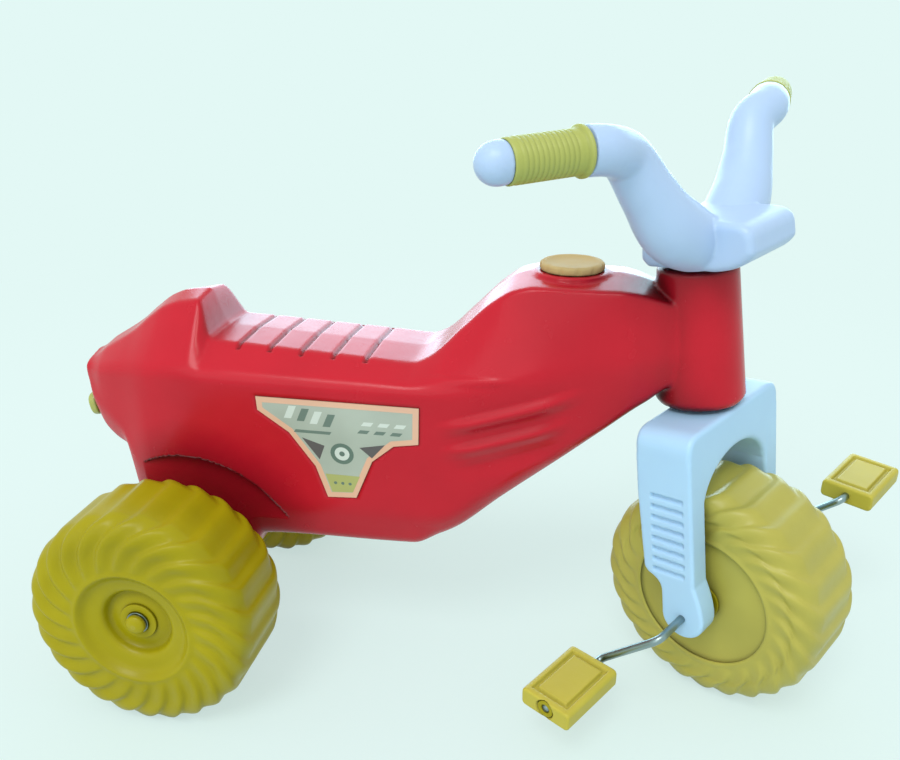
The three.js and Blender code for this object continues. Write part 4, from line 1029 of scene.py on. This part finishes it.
def bar_end():
    """The straight end under the grip, and the bulb beyond it."""
    shoulder = GRIP_END + GAP
    tip = GRIP_END + BAR_END
    radius = BAR_END_RADIUS
    dome = arc(0, tip - radius, radius, radius, 0, TURN / 4, 11)
    neck = [
        (0, 0), (BAR_RADIUS, 0), (BAR_RADIUS, shoulder), (radius - 0.4, shoulder),
        (radius, shoulder + 1),
    ]
    return on_grip(revolve([*neck, *dome[:-1], (0, tip)]))


def stem_block():
    low = BLOCK_BOTTOM
    high = low + BLOCK["height"]
    front, back = BLOCK["front"], BLOCK["back"]
    outline = np.vstack([
        [(-back + 6, low)],
        quadratic((front - 34, low), (front - 8, low + 3), (front, low + 17)),
        quadratic((front - 1, high - 14), (front - 3, high - 4), (front - 15, high - 3)),
        quadratic((0, high), (-back + 4, high - 2), (-back, low + 14)),
        [(-back, low + 6)],
    ])
    return prism(outline, -BLOCK["half"], BLOCK["half"], "xz", 6)


def make_handlebar():
    halves = [mirrored(part, sign) for sign in SIDES.values() for part in (bar_arm(), bar_end())]
    parts = [stem_block(), *halves]
    piece = fused(make("handlebar_moulding", parts, steering), voxel=1.2, rounds=8)
    floored(piece, steering, BLOCK_BOTTOM)
    finish_piece(piece, bar_plastic, "blue_plastic", "steering", "handlebar")


def grip_sleeve():
    """A sleeve with fine rings and a flange against the rider's thumb."""
    bore, radius = BAR_RADIUS + GAP, GRIP_RADIUS - 0.1
    start, end = GRIP_INSET, GRIP_END
    pitch, dip = 4.0, 0.35
    first = start + 9
    ribs = []
    for i in range(int((end - 5 - first) / pitch)):
        y = first + i * pitch
        ribs += [(radius, y), (radius, y + 2.6), (radius - dip, y + 3.0),
                 (radius - dip, y + 3.6)]
    wide = GRIP_FLANGE - 0.2
    return on_grip(revolve([
        (bore, start), (wide - 0.8, start), (wide, start + 0.8), (wide, start + 2.7),
        (wide - 0.8, start + 3.5), (radius + 0.6, start + 4), (radius, start + 5), *ribs,
        (radius, end - 1.2), (radius - 0.8, end), (bore, end), (bore, start),
    ], 80))


def make_grips():
    for side, sign in SIDES.items():
        make_piece(f"{side}_hand_grip", [mirrored(grip_sleeve(), sign)], steering, grip_plastic,
                   "grip_plastic", "steering", f"grip_{side}")


# ---- Crank and pedals ----
def crank_rod():
    """The rod through the wheel, bent out along each crank arm and out again as each spindle."""
    arm = np.array([math.cos(CRANK_ANGLE), 0, math.sin(CRANK_ANGLE)]) * CRANK_RADIUS
    knee = arm + [0, CRANK_BEND + CRANK_FLARE, 0]
    half = [np.array([0, CRANK_BEND, 0.0]), knee, arm + [0, PEDAL_OUTER - 1.5, 0]]
    corners = [-p for p in half[::-1]] + half
    path = rounded_path(corners, [ROD_BEND_RADIUS] * 4)
    square = np.cross([0, 1, 0], arm)
    return tube(path, lambda t: (ROD_RADIUS, ROD_RADIUS), square, 32)


def make_crank():
    make_piece("bent_crank_rod", [crank_rod()], drive, steel, "steel", "crank", "crank_rod")
    spacer = ring(9, ROD_RADIUS + GAP, hub_face(FRONT_DISH) + GAP, LEG_INNER - 2 - 2 * GAP)
    start = PEDAL_OUTER - PEDAL_RECESS + GAP
    retainer = ring(8, ROD_RADIUS + GAP, start, start + 4.5, 1.2)
    for side, sign in SIDES.items():
        make_piece(f"{side}_front_spacer", [mirrored(spacer, sign)], drive, front_lime,
                   "dark_plastic", "crank", f"front_spacer_{side}")
        make_piece(f"{side}_pedal_retainer", [mirrored(retainer, sign)], pedal_frames[side],
                   bush_plastic, "dark_plastic", "crank", f"pedal_retainer_{side}")


def carve_pedal(piece, place):
    """The sunk frame on its upper and lower face, and the retainer's recess in its outer end."""
    margin, groove, depth = 6, 4.5, 2.5
    points, normals = local_points(piece, place)
    x, y, z = points.T
    middle = (PEDAL_INNER + PEDAL_OUTER) / 2
    ahead = PEDAL_WIDTH / 2 - margin - np.abs(x)
    inside = np.minimum(ahead, PEDAL_LENGTH / 2 - margin - np.abs(np.abs(y) - middle))
    in_groove = ramped(inside, 0, groove, 0.9)
    push = -depth * in_groove * np.abs(normals[:, 2]) * (np.abs(z) > PEDAL_THICKNESS / 4)
    hole = (np.hypot(x, z) < 8.8) & (np.abs(y) > PEDAL_OUTER - 1)
    points = points + normals * push[:, None]
    points[:, 1] -= np.where(hole, np.sign(y) * (PEDAL_RECESS - GAP), 0)
    set_points(piece, points, place)


def make_pedals():
    outline = rounded_box(PEDAL_WIDTH / 2 - 0.2, PEDAL_THICKNESS / 2, 5)
    block = prism(outline, PEDAL_INNER, PEDAL_OUTER, "xz", 2)
    for side, sign in SIDES.items():
        place = pedal_frames[side] @ Matrix.Rotation(PEDAL_TILT, 4, "Y")
        piece = make(f"{side}_pedal_block", [mirrored(block, sign)], place)
        carve_pedal(fused(piece, voxel=0.7, rounds=4), place)
        finish_piece(piece, pedal_lime, "lime_plastic", f"{side}_pedal", f"pedal_{side}")


# ---- Cap and lamp ----
def make_cap():
    seat = TANK_TOP + 1.3
    top = seat + CAP_HEIGHT
    notches, notch_depth = 12, 1.2
    turn = np.arange(notches * 10) / (notches * 10) * TURN
    rows = [
        (18, seat - 12, 0), (20, seat - 10, 0), (20, seat, 0), (CAP_RADIUS - 1, seat, 0),
        (CAP_RADIUS, seat + 1, 1), (CAP_RADIUS, seat + 2.5, 1), (CAP_RADIUS, top - 2, 1),
        (CAP_RADIUS - 0.6, top - 0.8, 0.8), (CAP_RADIUS - 2, top, 0.2),
        (CAP_RADIUS - 6, top, 0), (CAP_RADIUS - 7, top - 0.5, 0), (4, top - 0.4, 0),
    ]
    rings = []
    for radius, height, share in rows:
        r = radius - share * notch_depth * (0.5 - 0.5 * np.cos(turn * notches)) ** 5
        rings.append(np.stack([r * np.cos(turn), r * np.sin(turn), np.full(len(turn), height)], 1))
    make_piece("filler_cap", [moved(skin(rings), (CAP_CENTRE, 0, 0))], trike, cap_lime,
               "lime_plastic", "frame", "fuel_cap")


def make_lamp():
    """A bar-shaped lens with fine upright ribs, square on the tail's rear wall, and its stub."""
    half_width, half_height, depth, centre = 27, 12, 9, 237
    rib_pitch, rib_depth = 4, 0.35
    (x0, z0), (x1, z1) = BODY_LINES["bottom_z"][:2]
    share = (centre - z0) / (z1 - z0)
    lean = math.atan2(x1 - x0, z0 - z1)
    outline = rounded_box(half_width, half_height, half_height - 1)
    lens = prism(outline, -depth, -GAP, "yz", 2.5, 5)
    stub = revolve([(0, -2), (8, -2), (8, 14), (0, 14)], 32)
    stub = (stub[0][:, [1, 0, 2]] * [1, -1, 1], stub[1])
    on_wall = Matrix.Translation((x0 + (x1 - x0) * share, 0, centre))
    place = trike @ on_wall @ Matrix.Rotation(-lean, 4, "Y")
    piece = fused(make("tail_lamp_lens", [lens, stub], place), voxel=0.7, rounds=3)
    points, normals = local_points(piece, place)
    x, y, z = points.T
    on_lens = (x < 0.4 - depth) * (np.abs(z) < half_height - 3.5)
    rib = rib_depth * (0.5 - 0.5 * np.cos(TURN * y / rib_pitch)) * on_lens
    set_points(piece, points - normals * rib[:, None], place)
    finish_piece(piece, lamp_plastic, "lamp_plastic", "frame", "tail_lamp")


# ---- Stage ----
BACKGROUND = linear(227, 248, 245)
FLOOR_SHARE = 0.955  # of the background colour, where the camera sees the floor
FLOOR_BOUNCE = 0.72  # of it, where the floor lights the object
SHADOW_HIDDEN = 0.68  # the share of the background colour over the floor near the object
FLOOR_FADE = (0.6, 1.8)  # metres from the middle, over which the floor runs into the background
FLOOR_REACH = 60
WORLD_LIGHT = 0.77


def show_where_seen(tree, light, seen, output):
    """The seen shader where the camera, reflections and refractions look, the light one elsewhere."""
    path = new_node(tree, "LightPath", {})
    factor = path.outputs["Is Camera Ray"]
    for ray in ("Is Glossy Ray", "Is Transmission Ray"):
        either = new_node(tree, "Math", {0: factor, 1: path.outputs[ray]}, operation="MAXIMUM")
        factor = either.outputs[0]
    mix = new_node(tree, "MixShader", {0: factor, 1: light.outputs[0], 2: seen.outputs[0]})
    feed(tree, tree.nodes[output], {0: mix.outputs[0]})


def pale_floor():
    """Matt floor that keeps shadows near the object and runs into the background colour far away."""
    look = bpy.data.materials.new("pale_floor")
    look.use_nodes = True
    tree = look.node_tree
    shader = tree.nodes["Principled BSDF"]
    lit = tint(BACKGROUND, FLOOR_SHARE)
    feed(tree, shader, {"Base Color": lit, "Roughness": 0.9, "Specular IOR Level": 0.0})
    bounce = new_node(tree, "BsdfDiffuse", {"Color": tint(BACKGROUND, FLOOR_BOUNCE)})
    far = new_node(tree, "Emission", {"Color": BACKGROUND})
    where = new_node(tree, "TexCoord", {})
    distance = new_node(tree, "VectorMath", {0: where.outputs["Object"]}, operation="LENGTH")
    share = new_node(tree, "MapRange", {
        "Value": distance.outputs["Value"], "From Min": FLOOR_FADE[0], "From Max": FLOOR_FADE[1],
        "To Min": SHADOW_HIDDEN,
    }, interpolation_type="SMOOTHSTEP")
    near = new_node(tree, "MixShader", {0: share.outputs[0], 1: shader.outputs[0], 2: far.outputs[0]})
    show_where_seen(tree, bounce, near, "Material Output")
    return look


def make_world():
    """Even white light, with the background colour where the camera and reflections look."""
    world = bpy.data.worlds.new("studio")
    bpy.context.scene.world = world
    world.use_nodes = True
    tree = world.node_tree
    light = tree.nodes["Background"]
    feed(tree, light, {"Color": (1, 1, 1, 1), "Strength": WORLD_LIGHT})
    seen = new_node(tree, "Background", {"Color": BACKGROUND, "Strength": 1.0})
    show_where_seen(tree, light, seen, "World Output")


def make_stage():
    """A wide pale floor, lit evenly, that runs into a background of the same colour."""
    corners = [(x * FLOOR_REACH, y * FLOOR_REACH, 0) for x, y in ((-1, -1), (1, -1), (1, 1), (-1, 1))]
    mesh = bpy.data.meshes.new("floor")
    mesh.from_pydata(corners, [], [(0, 1, 2, 3)])
    mesh.materials.append(pale_floor())
    added("floor", mesh)
    make_world()


def lamp(name, kind, azimuth, elevation, **settings):
    """A lamp that shines at the middle, and where it stands: azimuth 0 at -Y and 90 at +X."""
    data = bpy.data.lights.new(name, kind)
    for key, value in settings.items():
        setattr(data, key, value)
    made = added(name, data)
    a, e = math.radians(azimuth), math.radians(elevation)
    toward = Vector((math.sin(a) * math.cos(e), -math.cos(a) * math.cos(e), math.sin(e)))
    made.rotation_mode = "QUATERNION"
    made.rotation_quaternion = toward.to_track_quat("Z", "Y")
    return made, toward


def sun(name, azimuth, elevation, strength, spread):
    """A soft distant lamp."""
    lamp(name, "SUN", azimuth, elevation, energy=strength, angle=math.radians(spread))


PANEL_DISTANCE = 3.0  # metres from the middle


def softbox(name, azimuth, elevation, width, height, radiance, colour):
    """A soft panel beyond the view that shows only as a pale sheen on the plastic."""
    energy = radiance * math.pi * width * height
    panel, toward = lamp(name, "AREA", azimuth, elevation, shape="RECTANGLE", size=width,
                         size_y=height, energy=energy, color=colour)
    panel.location = toward * PANEL_DISTANCE
    panel.visible_diffuse = False
    panel.visible_camera = False


def make_lights():
    sun("key", -12, 55, strength=1.1, spread=26)
    sun("fill", -20, 22, strength=0.4, spread=50)
    softbox("back_panel", 182, 20, 4.2, 1.9, radiance=3.4, colour=(0.66, 1.0, 1.22))
    softbox("top_panel", 26, 57, 0.5, 0.5, radiance=12, colour=(1, 1, 0.9))


# ---- Camera ----
CAMERA_PLACE = (402.7, -763.7, 588.1)
CAMERA_YAW, CAMERA_PITCH, CAMERA_ROLL = -11.86, -21.52, -0.38
FOCAL_WIDTHS = 898.03 / 900
SENSOR = 36


def make_camera():
    yaw, pitch, roll = (math.radians(a) for a in (CAMERA_YAW, CAMERA_PITCH, CAMERA_ROLL))
    level = math.cos(pitch)
    ahead = Vector((math.sin(yaw) * level, math.cos(yaw) * level, math.sin(pitch)))
    right = Vector((math.cos(yaw), -math.sin(yaw), 0))
    up = right.cross(ahead)
    c, s = math.cos(roll), math.sin(roll)
    matrix = Matrix((c * right + s * up, c * up - s * right, -ahead)).transposed().to_4x4()
    matrix.translation = trike @ Vector(CAMERA_PLACE)
    data = bpy.data.cameras.new("camera")
    data.sensor_width = SENSOR
    data.lens = FOCAL_WIDTHS * SENSOR
    camera = added("camera", data)
    camera.matrix_world = matrix
    bpy.context.scene.camera = camera


bpy.context.scene.view_settings.view_transform = "Standard"
make_camera()
make_stage()
make_lights()
dress_frame()
make_body()
make_labels()
make_wheels()
make_axle_pieces()
make_fork()
make_bushes()
make_handlebar()
make_grips()
make_crank()
make_pedals()
make_cap()
make_lamp()
